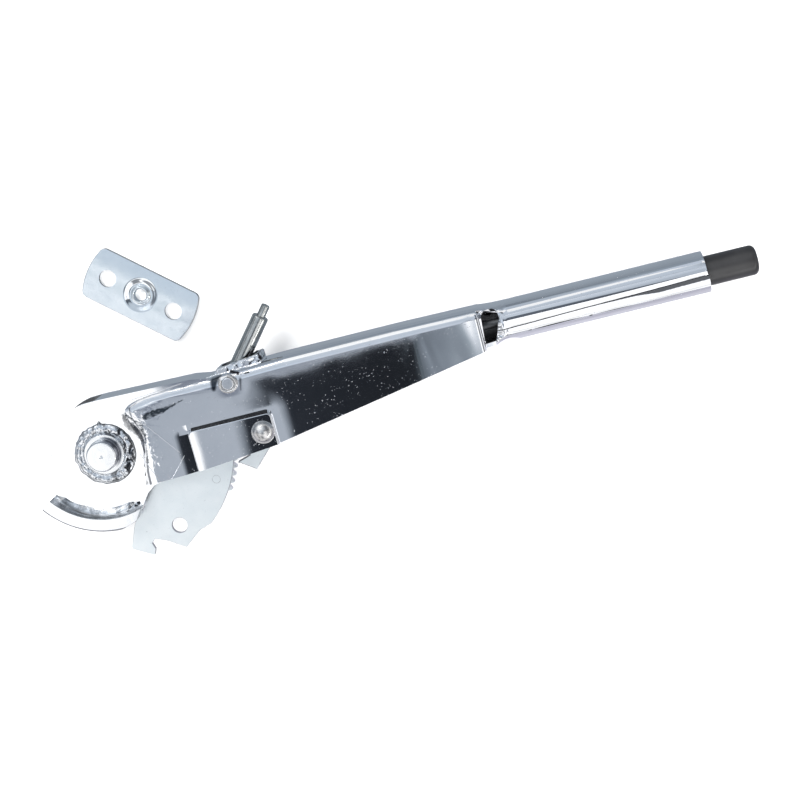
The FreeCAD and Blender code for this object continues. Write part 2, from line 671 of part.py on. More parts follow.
def pawl():
    """Pawl with its nose at the teeth and its arm at the push rod."""
    nose = polar(TIP_R + TIP_GAP, NOSE_A)
    points = [nose] + list(PAWL_FOOT) + [(ARM_RIGHT_X, 8.0), (ARM_RIGHT_X, ARM_TOP_Y), (ARM_LEFT_X, ARM_TOP_Y)]
    points = points + list(PAWL_BACK)
    body = prism(points, PAWL_Z0, PAWL_Z1)
    soft = [(99.0, -23.3, 4.0), (112.0, -14.0, 6.0), (111.5, -4.0, 8.0), (ARM_LEFT_X, ARM_TOP_Y, 2.0),
            (ARM_RIGHT_X, ARM_TOP_Y, 2.0), (95.0, -3.5, 6.0), (101.0, 6.0, 6.0), (93.5, -13.0, 8.0)]
    body = round_corners(body, soft)
    return body.cut(disc(PAWL_X, PAWL_Y, PAWL_RIVET_R + RUN_FIT, PAWL_Z0 - 1.0, PAWL_Z1 + 1.0))


def cable_pin():
    pin = disc(PIN_X, PIN_Y, PIN_R, -PIN_HALF, PIN_HALF)
    return pin.makeChamfer(PIN_CHAMFER, flat_edges(pin, PIN_HALF) + flat_edges(pin, -PIN_HALF))


def cable_pin_clips():
    """Open wire rings that keep the cable pin in the walls."""
    z = CHANNEL_HALF + CLIP_WIRE_R
    ring_r = PIN_R + CLIP_WIRE_R
    near = Part.makeTorus(ring_r, CLIP_WIRE_R, V(PIN_X, PIN_Y, z), V(0, 0, 1), -180, 180, CLIP_SWEEP)
    near.rotate(V(PIN_X, PIN_Y, 0), V(0, 0, 1), 140.0)
    far = near.mirror(V(0, 0, 0), V(0, 0, 1))
    return Part.makeCompound([near, far])


def cable_pin_spacers():
    inner = CHANNEL_HALF - SHEET
    rings = []
    for z0, z1 in ((SWIVEL_R + SIDE_GAP, inner), (-inner, -SWIVEL_R - SIDE_GAP)):
        ring = disc(PIN_X, PIN_Y, PIN_SPACER_R, z0, z1).common(channel_inner())
        rings.append(ring.cut(disc(PIN_X, PIN_Y, PIN_R, z0 - 1.0, z1 + 1.0)))
    return Part.makeCompound(rings)


def swivel_rod():
    """Cable stud that turns on the cable pin."""
    rod = Part.makeCylinder(SWIVEL_R, SWIVEL_LENGTH, V(0, 0, 0), V(1, 0, 0))
    shoulder = [e for e in rod.Edges if e.BoundBox.XMin > SWIVEL_LENGTH - 0.01]
    rod = rod.makeFillet(SWIVEL_SHOULDER_R, shoulder)
    neck = Part.makeCylinder(NECK_R, NECK_LENGTH, V(SWIVEL_LENGTH, 0, 0), V(1, 0, 0))
    tip = [e for e in neck.Edges if e.BoundBox.XMin > SWIVEL_LENGTH + NECK_LENGTH - 0.01]
    neck = neck.makeChamfer(0.5, tip)
    eye = Part.makeCylinder(SWIVEL_EYE_R, 2.0 * SWIVEL_R, V(0, 0, -SWIVEL_R), V(0, 0, 1))
    body = rod.fuse([neck, eye])
    tip_x = SWIVEL_LENGTH + NECK_LENGTH
    body = body.cut(Part.makeCylinder(NECK_HOLE_R, NECK_HOLE_DEPTH, V(tip_x - NECK_HOLE_DEPTH, 0, 0), V(1, 0, 0)))
    body = body.cut(Part.makeCylinder(PIN_R + RUN_FIT, 30.0, V(0, 0, -15.0), V(0, 0, 1)))
    body.rotate(V(0, 0, 0), V(0, 0, 1), SWIVEL_A)
    body.translate(V(PIN_X, PIN_Y, 0))
    return body


def rod_start():
    return ARM_RIGHT_X + ROD_GAP


def push_rod():
    start = rod_start() + CAP_R
    rod = bar(start, BUTTON_X0 + ROD_IN_BUTTON, ROD_R)
    return rod.cut(seat_pin())


def rod_end_cap():
    start = rod_start()
    body = bar(start + CAP_R, start + CAP_LENGTH, CAP_R)
    nose = Part.makeSphere(CAP_R, V(start + CAP_R, GRIP_Y, 0))
    cap = body.fuse(nose.common(bar(start - 1.0, start + CAP_R, CAP_R + 1.0))).removeSplitter()
    return cap.cut(bar(start + CAP_R, start + CAP_LENGTH + 1.0, ROD_R))


def push_button():
    button = bar(BUTTON_X0, BUTTON_X1, BUTTON_R)
    crown = [e for e in button.Edges if e.BoundBox.XMin > BUTTON_X1 - 0.01]
    button = button.makeFillet(BUTTON_EDGE_R, crown)
    back = [e for e in button.Edges if e.BoundBox.XMax < BUTTON_X0 + 0.01]
    button = button.makeChamfer(0.8, back)
    return button.cut(bar(BUTTON_X0 - 1.0, BUTTON_X0 + ROD_IN_BUTTON, ROD_R))


def grip_bush():
    """Sleeve in the grip that carries the button end of the rod."""
    return bar(BUSH_X0, BUSH_X1, GRIP_R - SHEET).cut(bar(BUSH_X0 - 1.0, BUSH_X1 + 1.0, ROD_R + RUN_FIT))


def rod_guide():
    """Small bulkhead across the channel, the fixed seat of the spring."""
    slab = box(GUIDE_X0, GUIDE_X1, GUIDE_FOOT_Y, 60.0, -40.0, 40.0)
    plate = slab.common(channel_inner())
    return plate.cut(bar(GUIDE_X0 - 1.0, GUIDE_X1 + 1.0, ROD_R + RUN_FIT))


def seat_pin():
    x = GUIDE_X1 + SPRING_LENGTH + WASHER_T + SEAT_PIN_R
    return Part.makeCylinder(SEAT_PIN_R, 2.0 * SEAT_PIN_HALF, V(x, GRIP_Y, -SEAT_PIN_HALF), V(0, 0, 1))


def spring_washer():
    x0 = GUIDE_X1 + SPRING_LENGTH
    return bar(x0, x0 + WASHER_T, WASHER_R).cut(bar(x0 - 1.0, x0 + WASHER_T + 1.0, ROD_R))


def return_spring():
    """Open coil between the bulkhead and the washer on the rod."""
    coil_length = SPRING_LENGTH - 2.0 * SPRING_WIRE_R
    helix = Part.makeHelix(coil_length / SPRING_TURNS, coil_length, SPRING_R)
    start = V(SPRING_R, 0, 0)
    section = Part.Wire([Part.makeCircle(SPRING_WIRE_R, start, V(0, 1, 0.18))])
    coil = Part.Wire(helix.Edges).makePipeShell([section], True, True)
    coil.rotate(V(0, 0, 0), V(0, 1, 0), 90)
    coil.translate(V(GUIDE_X1 + SPRING_WIRE_R, GRIP_Y, 0))
    if coil.ShapeType != "Solid":
        coil = coil.Solids[0]
    return coil


def plate_outline():
    """Plate edge: straight long sides, bulged ends, rounded corners."""
    hx = PLATE_LENGTH / 2.0
    hy = PLATE_WIDTH / 2.0
    ex = hx - PLATE_END_BULGE
    points = [V(-ex, hy, 0), V(ex, hy, 0), V(hx, 0, 0), V(ex, -hy, 0), V(-ex, -hy, 0), V(-hx, 0, 0)]
    edges = [Part.LineSegment(points[0], points[1]).toShape(),
             Part.Arc(points[1], points[2], points[3]).toShape(),
             Part.LineSegment(points[3], points[4]).toShape(),
             Part.Arc(points[4], points[5], points[0]).toShape()]
    return Part.Wire(edges)


def fixing_plate():
    """Loose plate with two bolt holes and a dished, collared centre hole."""
    body = Part.Face(plate_outline()).extrude(V(0, 0, PLATE_T))
    ex = PLATE_LENGTH / 2.0 - PLATE_END_BULGE
    hy = PLATE_WIDTH / 2.0
    corners = [(sx * ex, sy * hy, PLATE_CORNER_R) for sx in (-1, 1) for sy in (-1, 1)]
    body = round_corners(body, corners)
    body = body.makeFillet(PLATE_EDGE_R, flat_edges(body, PLATE_T) + flat_edges(body, 0.0))
    dish_top = Part.makeCone(DISH_R, DISH_FLAT_R, DISH_DEPTH, V(0, 0, PLATE_T), V(0, 0, -1))
    dish_under = Part.makeCone(DISH_R, DISH_FLAT_R, DISH_DEPTH, V(0, 0, 0), V(0, 0, -1))
    body = body.fuse(dish_under).cut(dish_top)
    floor = PLATE_T - DISH_DEPTH
    body = body.fuse(disc(0, 0, COLLAR_R, floor - 0.5, PLATE_T + COLLAR_RISE)).removeSplitter()
    body = body.makeFillet(0.6, flat_edges(body, PLATE_T + COLLAR_RISE))
    body = body.cut(disc(0, 0, COLLAR_BORE_R, -10.0, 10.0))
    for side in (-1, 1):
        body = body.cut(disc(side * PLATE_PITCH / 2.0, 0, PLATE_HOLE_R, -10.0, 10.0))
    body.rotate(V(0, 0, 0), V(0, 0, 1), PLATE_A)
    body.translate(V(PLATE_X, PLATE_Y, DISH_DEPTH - MID_Z))
    return body


def write(name, shape):
    """Lifts a shape onto the resting plane and writes it."""
    shape = shape.copy()
    shape.translate(V(0, 0, MID_Z))
    shape.exportStep("parts/" + name + ".step")
    print(name, len(shape.Solids), round(shape.Volume, 1), shape.isValid())


NODES = (
    ("ratchet_sector_plate", sector_plate),
    ("toothed_segment", toothed_segment),
    ("sector_rivets", sector_rivets),
    ("lever_shell", lever_shell),
    ("pivot_shaft", pivot_shaft),
    ("pivot_welds", pivot_welds),
    ("cable_quadrant", cable_quadrant),
    ("quadrant_weld", quadrant_weld),
    ("shaft_spacers", shaft_spacers),
    ("pawl_rivet", pawl_rivet),
    ("pawl_spacers", pawl_spacers),
    ("pawl", pawl),
    ("cable_pin", cable_pin),
    ("cable_pin_clips", cable_pin_clips),
    ("cable_pin_spacers", cable_pin_spacers),
    ("swivel_rod", swivel_rod),
    ("rod_guide", rod_guide),
    ("grip_bush", grip_bush),
    ("push_button", push_button),
    ("push_rod", push_rod),
    ("rod_end_cap", rod_end_cap),
    ("spring_washer", spring_washer),
    ("spring_seat_pin", seat_pin),
    ("return_spring", return_spring),
    ("fixing_plate", fixing_plate),
)

os.makedirs("parts", exist_ok=True)
for node_name, maker in NODES:
    write(node_name, maker())
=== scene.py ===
import json
import math

import bmesh
import bpy
from mathutils import Matrix, Vector, noise


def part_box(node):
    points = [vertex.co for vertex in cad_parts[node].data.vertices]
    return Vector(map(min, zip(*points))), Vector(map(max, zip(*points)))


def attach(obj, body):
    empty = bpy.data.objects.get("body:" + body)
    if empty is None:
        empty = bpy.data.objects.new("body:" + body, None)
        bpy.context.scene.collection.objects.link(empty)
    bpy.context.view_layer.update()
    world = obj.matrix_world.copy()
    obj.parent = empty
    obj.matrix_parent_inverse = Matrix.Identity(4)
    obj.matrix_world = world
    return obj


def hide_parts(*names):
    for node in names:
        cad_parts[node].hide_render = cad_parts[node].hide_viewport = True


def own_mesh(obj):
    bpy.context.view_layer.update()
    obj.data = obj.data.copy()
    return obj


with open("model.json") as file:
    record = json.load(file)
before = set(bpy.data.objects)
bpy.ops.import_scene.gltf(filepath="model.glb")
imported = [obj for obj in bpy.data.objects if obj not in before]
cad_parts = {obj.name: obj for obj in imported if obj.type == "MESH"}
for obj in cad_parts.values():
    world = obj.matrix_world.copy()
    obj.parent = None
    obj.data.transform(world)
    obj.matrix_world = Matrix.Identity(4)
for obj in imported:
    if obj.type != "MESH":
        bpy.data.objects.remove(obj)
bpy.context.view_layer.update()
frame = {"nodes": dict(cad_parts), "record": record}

NODES = frame["nodes"]

# places and sizes of the lever in metres, shared by meshes and materials
MID = 0.022                                # height of the middle plane
CHEEK_OUT = 0.01203                        # just outside the cheek, measured from the middle plane
PANEL_X, PANEL_Y = 0.08385, -0.0145        # centre of the raised panel
PIN_X, PIN_Y = 0.0898, 0.0254              # cable pin
GRIP_Y = 0.0202                            # axis of the grip
SEAM = ((0.268, 0.0168), (0.395, 0.0196))  # open seam of the rolled grip
SEAM_SLOPE = (SEAM[1][1] - SEAM[0][1]) / (SEAM[1][0] - SEAM[0][0])
PLATE_X, PLATE_Y = 0.0433, 0.0899          # centre of the loose plate
PLATE_COS, PLATE_SIN = 0.7570, 0.6534      # its turn about the vertical
CARD_Z = 0.935                             # height of the overhead card and of the camera


# ---------------------------------------------------------------- node helpers
class Graph:
    """Small helper that adds and links shader nodes."""

    def __init__(self, tree):
        for node in list(tree.nodes):
            tree.nodes.remove(node)
        self.tree = tree

    def add(self, kind, **props):
        node = self.tree.nodes.new(kind)
        for key, value in props.items():
            setattr(node, key, value)
        return node

    def link(self, out, sock):
        self.tree.links.new(out, sock)

    def put(self, node, name, value):
        sock = node.inputs[name]
        if isinstance(value, bpy.types.NodeSocket):
            self.link(value, sock)
        else:
            sock.default_value = value

    def math(self, op, a, b=None, c=None, clamp=False):
        node = self.add("ShaderNodeMath", operation=op, use_clamp=clamp)
        self.put(node, 0, a)
        if b is not None:
            self.put(node, 1, b)
        if c is not None:
            self.put(node, 2, c)
        return node.outputs[0]

    def madd(self, a, b, c, clamp=False):
        return self.math("MULTIPLY_ADD", a, b, c, clamp)

    def times(self, a, b, clamp=False):
        return self.math("MULTIPLY", a, b, clamp=clamp)

    def plus(self, a, b, clamp=False):
        return self.math("ADD", a, b, clamp=clamp)

    def minus(self, a, b):
        return self.math("SUBTRACT", a, b)

    def most(self, a, b):
        return self.math("MAXIMUM", a, b)

    def over(self, a, b):
        return self.math("GREATER_THAN", a, b)

    def length(self, a, b):
        return self.math("SQRT", self.plus(self.times(a, a), self.times(b, b)))

    def ramp(self, fac, stops):
        """Linear colour ramp. A stop's colour is a grey value or three channels."""
        node = self.add("ShaderNodeValToRGB")
        node.color_ramp.interpolation = "LINEAR"
        elements = node.color_ramp.elements
        while len(elements) > 1:
            elements.remove(elements[0])
        for i, (pos, col) in enumerate(stops):
            if isinstance(col, (int, float)):
                col = (col, col, col)
            e = elements[0] if i == 0 else elements.new(pos)
            e.position = pos
            e.color = (col[0], col[1], col[2], 1.0)
        self.put(node, "Fac", fac)
        return node.outputs["Color"]

    def mix(self, fac, a, b, blend="MIX"):
        node = self.add("ShaderNodeMix", data_type="RGBA", blend_type=blend)
        self.put(node, 0, fac)
        self.put(node, 6, a)
        self.put(node, 7, b)
        return node.outputs[2]

    def coords(self, scale=(1, 1, 1), rotation=(0, 0, 0), location=(0, 0, 0)):
        tex = self.add("ShaderNodeTexCoord")
        mapping = self.add("ShaderNodeMapping")
        mapping.inputs["Scale"].default_value = scale
        mapping.inputs["Rotation"].default_value = rotation
        mapping.inputs["Location"].default_value = location
        self.link(tex.outputs["Object"], mapping.inputs["Vector"])
        return mapping.outputs["Vector"]

    def place(self):
        """Object position as x, y and z, in metres."""
        sep = self.add("ShaderNodeSeparateXYZ")
        self.link(self.coords(), sep.inputs[0])
        return sep.outputs

    def noise(self, vector, scale, detail=4.0, rough=0.5, distort=0.0):
        node = self.add("ShaderNodeTexNoise")
        self.put(node, "Vector", vector)
        self.put(node, "Scale", scale)
        self.put(node, "Detail", detail)
        self.put(node, "Roughness", rough)
        self.put(node, "Distortion", distort)
        return node.outputs["Fac"]

    def bump(self, height, strength, distance, normal=None):
        node = self.add("ShaderNodeBump")
        self.put(node, "Strength", strength)
        self.put(node, "Distance", distance)
        self.put(node, "Height", height)
        if normal is not None:
            self.link(normal, node.inputs["Normal"])
        return node.outputs["Normal"]


def new_shader(name, kind):
    """A material with one shader of the given kind."""
    mat = bpy.data.materials.new(name)
    mat.use_nodes = True
    g = Graph(mat.node_tree)
    out = g.add("ShaderNodeOutputMaterial")
    shader = g.add(kind)
    g.link(shader.outputs[0], out.inputs["Surface"])
    return mat, g, shader


def metal(name, light, dark, rough, grain=(1, 1, 1), grain_scale=900.0, grain_depth=0.00001,
          wave_scale=12.0, wave_depth=0.0, scratch=0.0, blotch_scale=60.0, spots=0.0, shape=None, stain_and_shade=None):
    """Plated or bare metal with blotches, grain, scratches and slow waviness of the sheet."""
    mat, g, bsdf = new_shader(name, "ShaderNodeBsdfPrincipled")
    bsdf.inputs["Metallic"].default_value = 1.0
    base = g.coords()
    blotch = g.noise(base, blotch_scale, 5.0, 0.6, 0.4)
    tint = g.ramp(blotch, [(0.3, dark), (0.7, light)])
    fine = g.noise(g.coords(scale=grain), grain_scale, 3.0, 0.6)
    tint = g.mix(0.25, tint, g.ramp(fine, [(0.35, dark), (0.6, light)]))
    if spots > 0:
        speck = g.noise(base, blotch_scale * 9.0, 3.0, 0.7)
        mask = g.times(g.ramp(speck, [(0.66, 0.0), (0.74, 1.0)]), spots)
        tint = g.mix(mask, tint, (0.1, 0.1, 0.11, 1.0))
    # the hook lays stains, painted shade and painted reflections over the tint
    if stain_and_shade is not None:
        for mask, color in stain_and_shade(g):
            tint = g.mix(mask, tint, (*color, 1.0))
    g.link(tint, bsdf.inputs["Base Color"])
    low, high = rough
    roughness = g.madd(g.noise(base, blotch_scale * 1.7, 6.0, 0.65), high - low, low)
    normal = None
    if scratch > 0:
        lines = None
        for turn, shift in ((0.55, 0.0), (-0.75, 3.1), (1.35, 5.7)):
            vec = g.coords(scale=(6, 900, 6), rotation=(0, 0, turn), location=(shift, shift, 0))
            part = g.ramp(g.noise(vec, 1.6, 2.0, 0.4), [(0.70, 0.0), (0.76, 1.0)])
            lines = part if lines is None else g.most(lines, part)
        where = g.ramp(g.noise(base, 24.0, 2.0, 0.5), [(0.45, 0.0), (0.62, 1.0)])
        lines = g.times(lines, where)
        roughness = g.madd(lines, 0.25 * scratch, roughness)
        normal = g.bump(lines, 0.35 * scratch, 0.00004, normal)
    g.link(roughness, bsdf.inputs["Roughness"])
    if shape is not None:
        normal = shape(g, normal)
    if wave_depth > 0:
        slow = g.noise(base, wave_scale, 2.0, 0.45, 0.3)
        normal = g.bump(slow, 1.0, wave_depth, normal)
    normal = g.bump(fine, 1.0, grain_depth, normal)
    g.link(normal, bsdf.inputs["Normal"])
    return mat


def set_material(obj, mat):
    obj.data.materials.clear()
    obj.data.materials.append(mat)
    for poly in obj.data.polygons:
        poly.material_index = 0


# ---------------------------------------------------------------- materials
# strokes on the lever: start, end, half width at the start, half width at the end
BURNS = (
    ((0.0330, 0.0172), (0.0457, 0.0190), 0.0025, 0.0019),
    ((0.0457, 0.0190), (0.0600, 0.0222), 0.0019, 0.0002),
    ((0.0205, 0.0212), (0.0282, 0.0130), 0.0010, 0.0016),
    ((0.0282, 0.0130), (0.0292, 0.0055), 0.0016, 0.0010),
    ((0.0286, 0.0040), (0.0262, -0.0120), 0.0002, 0.0005))
PIN_SMEARS = (
    ((0.0800, 0.0240), (0.0812, 0.0283), 0.0020, 0.0030),
    ((0.0812, 0.0283), (0.0866, 0.0312), 0.0030, 0.0008),
    ((0.0980, 0.0262), (0.0965, 0.0195), 0.0014, 0.0008))
HEAT = (
    ((0.0188, 0.0212), (0.0195, 0.0150), 0.0016, 0.0028),
    ((0.0195, 0.0150), (0.0250, 0.0085), 0.0028, 0.0034),
    ((0.0250, 0.0085), (0.0265, 0.0015), 0.0034, 0.0012))
FOOT = (
    ((0.0240, 0.0020), (0.0205, -0.0120), 0.0016, 0.0022),
    ((0.0205, -0.0120), (0.0185, -0.0260), 0.0022, 0.0016))
LIP_SPOTS = (
    ((0.0925, 0.0318), (0.0975, 0.0300), 0.0009, 0.0012),
    ((0.0990, 0.0292), (0.1040, 0.0290), 0.0005, 0.0009),
    ((0.1120, 0.0392), (0.1130, 0.0350), 0.0009, 0.0013))
SCRATCHES = (
    ((0.021, 0.0243), (0.030, 0.0140), 0.0004, 0.0003),
    ((0.030, 0.0140), (0.0475, -0.0100), 0.0003, 0.00014),
    ((0.050, -0.013), (0.030, -0.034), 0.00012, 0.00018),
    ((0.036, -0.022), (0.041, -0.038), 0.00012, 0.0001),
    ((0.027, 0.0295), (0.060, 0.0320), 0.00016, 0.0003),
    ((0.022, -0.006), (0.034, -0.034), 0.00012, 0.00016))


def stroke(g, x, y, start, end, w0, w1, soft, wiggle=None):
    """Soft mask of a stroke from start to end whose half width runs from w0 to w1."""
    (ax, ay), (bx, by) = start, end
    dx, dy = bx - ax, by - ay
    size = dx * dx + dy * dy
    px, py = g.minus(x, ax), g.minus(y, ay)
    t = g.plus(g.times(px, dx / size), g.times(py, dy / size), clamp=True)
    d = g.length(g.madd(t, -dx, px), g.madd(t, -dy, py))
    if wiggle is not None:
        d = g.plus(d, wiggle)
    return g.times(g.minus(g.madd(t, w1 - w0, w0), d), 1.0 / soft, clamp=True)


def strokes(g, x, y, rows, soft, wiggle=None):
    total = None
    for row in rows:
        part = stroke(g, x, y, *row, soft, wiggle)
        total = part if total is None else g.most(total, part)
    return total


def off_mid(g, z):
    """Distance from the lever's middle plane."""
    return g.math("ABSOLUTE", g.minus(z, MID))


def sheet_stain_and_seam_shade(g):
    """Dark heat marks beside the pivot, smears by the pin and the slot, and painted shade in the open seam of the
    grip.
    """
    x, y, z = g.place()
    high = off_mid(g, z)
    outer = g.over(high, CHEEK_OUT)
    rag = g.madd(g.noise(g.coords(), 520.0, 4.0, 0.6), 0.0030, -0.0015)
    patchy = g.noise(g.coords(scale=(1, 2, 1)), 260.0, 3.0, 0.6)
    streaky = g.noise(g.coords(scale=(3, 1, 1), rotation=(0, 0, 0.9)), 150.0, 4.0, 0.6)
    burns = g.times(strokes(g, x, y, BURNS, 0.0008, rag), g.ramp(patchy, [(0.36, 0.35), (0.52, 1.0)]))
    heat = g.times(strokes(g, x, y, HEAT, 0.0012, rag), g.ramp(streaky, [(0.34, 0.62), (0.58, 1.0)]))
    foot = g.times(strokes(g, x, y, FOOT, 0.0020, rag), g.ramp(streaky, [(0.42, 0.0), (0.60, 0.75)]))
    smears = strokes(g, x, y, PIN_SMEARS, 0.0014)
    spots = g.times(strokes(g, x, y, LIP_SPOTS, 0.0006, rag), g.over(y, 0.0285))
    # open seam: painted shade in a thin line that widens to a gap at the button end
    below = g.minus(g.madd(x, SEAM_SLOPE, SEAM[0][1] - SEAM[0][0] * SEAM_SLOPE), y)
    wide = g.ramp(g.madd(x, 10.0, -3.2), [(0.0, 0.05), (0.28, 0.14), (0.42, 0.30), (0.75, 0.30)])
    fine = g.madd(g.noise(g.coords(), 700.0, 3.0, 0.6), 0.0005, -0.00025)
    seam_gap_shade = g.times(g.minus(g.times(wide, 0.01), g.plus(below, fine)), 2500.0, clamp=True)
    for value, least in ((below, -0.00015), (x, 0.2675), (z, MID + 0.004)):
        seam_gap_shade = g.times(seam_gap_shade, g.over(value, least))
    return [(g.times(heat, g.over(high, 0.0117)), (0.19, 0.195, 0.205)),
            (g.times(foot, outer), (0.20, 0.205, 0.215)),
            (g.times(burns, outer), (0.07, 0.085, 0.10)),
            (seam_gap_shade, (0.09, 0.095, 0.105)),
            (smears, (0.06, 0.07, 0.085)),
            (spots, (0.04, 0.04, 0.045))]


def sheet_shape(g, normal):
    """Soft hollows that the press and the welding left in the sheet, plus pits and hand scratches."""
    x, y, z = g.place()

    def past(value, centre, half):
        return g.most(g.minus(g.math("ABSOLUTE", g.minus(value, centre)), half), 0.0)

    def near_box(cx, cy, hx, hy, reach):
        """1 in a box, falling to 0 at a distance from it."""
        return g.madd(g.length(past(x, cx, hx), past(y, cy, hy)), -1.0 / reach, 1.0, clamp=True)

    on_panel = g.over(off_mid(g, z), 0.0155)
    beside = g.minus(1.0, on_panel)
    # hollow round the raised panel, and the panel's own slight crown
    t = near_box(PANEL_X, PANEL_Y, 0.02755, 0.0166, 0.015)
    normal = g.bump(g.times(g.times(g.times(t, t), beside), -1.0), 1.0, 0.00036, normal)
    off = g.minus(x, 0.084)
    crown = g.times(g.times(off, off), g.minus(1.0, beside))
    normal = g.bump(g.times(crown, -1000.0), 1.0, 0.00100, normal)
    # deeper run-in on the pivot side of the panel
    run_in = g.madd(g.minus(0.0563, x), -1.0 / 0.013, 1.0, clamp=True)
    run_in = g.times(run_in, g.math("LESS_THAN", x, 0.0563))
    level = g.ramp(g.madd(y, 10.0, 0.5), [(0.500, 1.0), (0.560, 0.0)])
    run_in = g.times(g.times(g.math("POWER", run_in, 1.5), level), beside)
    normal = g.bump(g.times(run_in, -1.0), 1.0, 0.00052, normal)
    # hollow round the cable pin
    t = near_box(PIN_X, PIN_Y, 0.001, 0.001, 0.014)
    normal = g.bump(g.times(g.times(t, t), -1.0), 1.0, 0.00020, normal)
    # the cheek leans slightly, and the step beside it is mottled by heat
    cheek = g.math("COMPARE", off_mid(g, z), 0.012, 0.00012)
    normal = g.bump(g.times(cheek, g.madd(x, 1000.0, -22.0)), 1.0, 0.000034, normal)
    spot = near_box(0.030, 0.004, 0.002, 0.012, 0.014)
    rough = g.noise(g.coords(scale=(1.0, 1.6, 1.0), rotation=(0, 0, 0.5)), 130.0, 3.0, 0.55, 0.4)
    normal = g.bump(g.times(rough, spot), 1.0, 0.00022, normal)
    # ripples before the grip
    fade = g.ramp(g.times(x, 2.0), [(0.385, 0.0), (0.42, 1.0), (0.53, 0.8), (0.56, 0.15)])
    folds = g.noise(g.coords(scale=(1.0, 0.45, 0.45), rotation=(0, 0, 0.12)), 48.0, 1.5, 0.45, 0.3)
    normal = g.bump(g.times(folds, fade), 1.0, 0.00034, normal)
    # small pits in the plating
    pits = g.ramp(g.noise(g.coords(), 950.0, 2.0, 0.5), [(0.70, 0.0), (0.72, 1.0)])
    group = g.ramp(g.noise(g.coords(scale=(1.0, 2.6, 1.0)), 42.0, 3.0, 0.6), [(0.46, 0.0), (0.60, 1.0)])
    normal = g.bump(g.times(pits, group), 0.8, 0.00016, normal)
    return g.bump(strokes(g, x, y, SCRATCHES, 0.00014), 1.0, 0.00009, normal)


def across_plate(g, x, y):
    """Distance from the loose plate's centre along its length."""
    return g.plus(g.madd(x, PLATE_SIN, -PLATE_X * PLATE_SIN), g.madd(y, PLATE_COS, -PLATE_Y * PLATE_COS))


def plate_shape(g, normal):
    """Slow roll of the loose plate."""
    x, y, z = g.place()
    return g.bump(g.math("SINE", g.times(across_plate(g, x, y), 210.0)), 1.0, 0.00006, normal)


def weld_painted_shade(g):
    """Painted dark reflections in patches on the bead, heavier on the grip side, and painted shade in a rim along
    its edges where it meets the parts beside it.
    """
    x, y, z = g.place()
    patch = g.ramp(g.noise(g.coords(scale=(1.0, 0.7, 1.0)), 210.0, 4.0, 0.6, 0.6), [(0.50, 0.0), (0.56, 1.0)])
    right = g.ramp(g.madd(x, 10.0, 0.5), [(0.46, 0.35), (0.58, 1.0)])
    r = g.times(g.length(x, y), 10.0)
    rim = g.most(g.ramp(r, [(0.185, 0.0), (0.198, 0.8), (0.30, 0.0)]),
                 g.ramp(r, [(0.385, 0.0), (0.40, 0.0), (0.424, 0.9), (0.438, 0.0)]))
    return [(g.times(patch, right), (0.035, 0.037, 0.042)), (rim, (0.16, 0.165, 0.17))]


def shoulder_painted_reflection(g):
    """Painted dark reflection in a ring on one side of the shoulder."""
    x, y, z = g.place()
    ring = g.ramp(g.times(g.length(x, y), 20.0), [(0.186, 0.0), (0.194, 1.0), (0.222, 0.9), (0.235, 0.0)])
    side = g.ramp(g.madd(g.plus(x, g.times(y, 0.25)), 40.0, 0.5), [(0.60, 0.0), (0.78, 1.0)])
    return [(g.times(ring, side), (0.24, 0.25, 0.28))]


chrome = metal("chrome_sheet", (0.93, 0.94, 0.96), (0.86, 0.88, 0.91), rough=(0.02, 0.07), grain_scale=1500.0,
               grain_depth=0.000002, wave_scale=16.0, wave_depth=0.00022, blotch_scale=45.0, shape=sheet_shape,
               stain_and_shade=sheet_stain_and_seam_shade)
dull = metal("unplated_inside", (0.16, 0.165, 0.17), (0.07, 0.072, 0.075), rough=(0.38, 0.6), grain_scale=900.0,
             grain_depth=0.00002, blotch_scale=60.0, spots=0.3)
# painted shade: a near-black metal laid on crease faces where shade falls
crease_shade = metal("painted_crease_shade", (0.035, 0.037, 0.04), (0.012, 0.012, 0.014), rough=(0.25, 0.5), grain_scale=1200.0,
               grain_depth=0.00001, blotch_scale=90.0)
cut_edge = metal("cut_edge", (0.46, 0.48, 0.50), (0.24, 0.25, 0.27), rough=(0.28, 0.5), grain_scale=1400.0,
                 grain_depth=0.00002, blotch_scale=120.0, spots=0.4)
zinc = metal("satin_zinc", (0.86, 0.90, 0.91), (0.76, 0.82, 0.84), rough=(0.26, 0.40), grain_scale=2200.0,
             grain_depth=0.00001, wave_scale=40.0, wave_depth=0.0002, blotch_scale=70.0, spots=0.4)
bright_zinc = metal("bright_zinc", (0.88, 0.92, 0.94), (0.80, 0.85, 0.88), rough=(0.06, 0.13), grain_scale=2000.0,
                    grain_depth=0.000005, wave_scale=55.0, wave_depth=0.00015, blotch_scale=80.0, spots=0.3,
                    scratch=0.15, shape=plate_shape)
plated = metal("plated_steel", (0.93, 0.94, 0.95), (0.82, 0.84, 0.87), rough=(0.10, 0.20), grain_scale=1800.0,
               grain_depth=0.000004, wave_scale=60.0, wave_depth=0.00012, blotch_scale=80.0, spots=0.2)
shaft_steel = metal("shaft_steel", (0.93, 0.94, 0.95), (0.84, 0.86, 0.88), rough=(0.10, 0.20), grain_scale=1800.0,
                    grain_depth=0.000004, wave_scale=60.0, wave_depth=0.00010, blotch_scale=80.0, spots=0.2,
                    stain_and_shade=shoulder_painted_reflection)
oiled = metal("oiled_rod", (0.10, 0.105, 0.11), (0.05, 0.052, 0.055), rough=(0.3, 0.5), grain=(0.05, 1, 1),
              grain_scale=1500.0, grain_depth=0.00001, blotch_scale=70.0, spots=0.3)
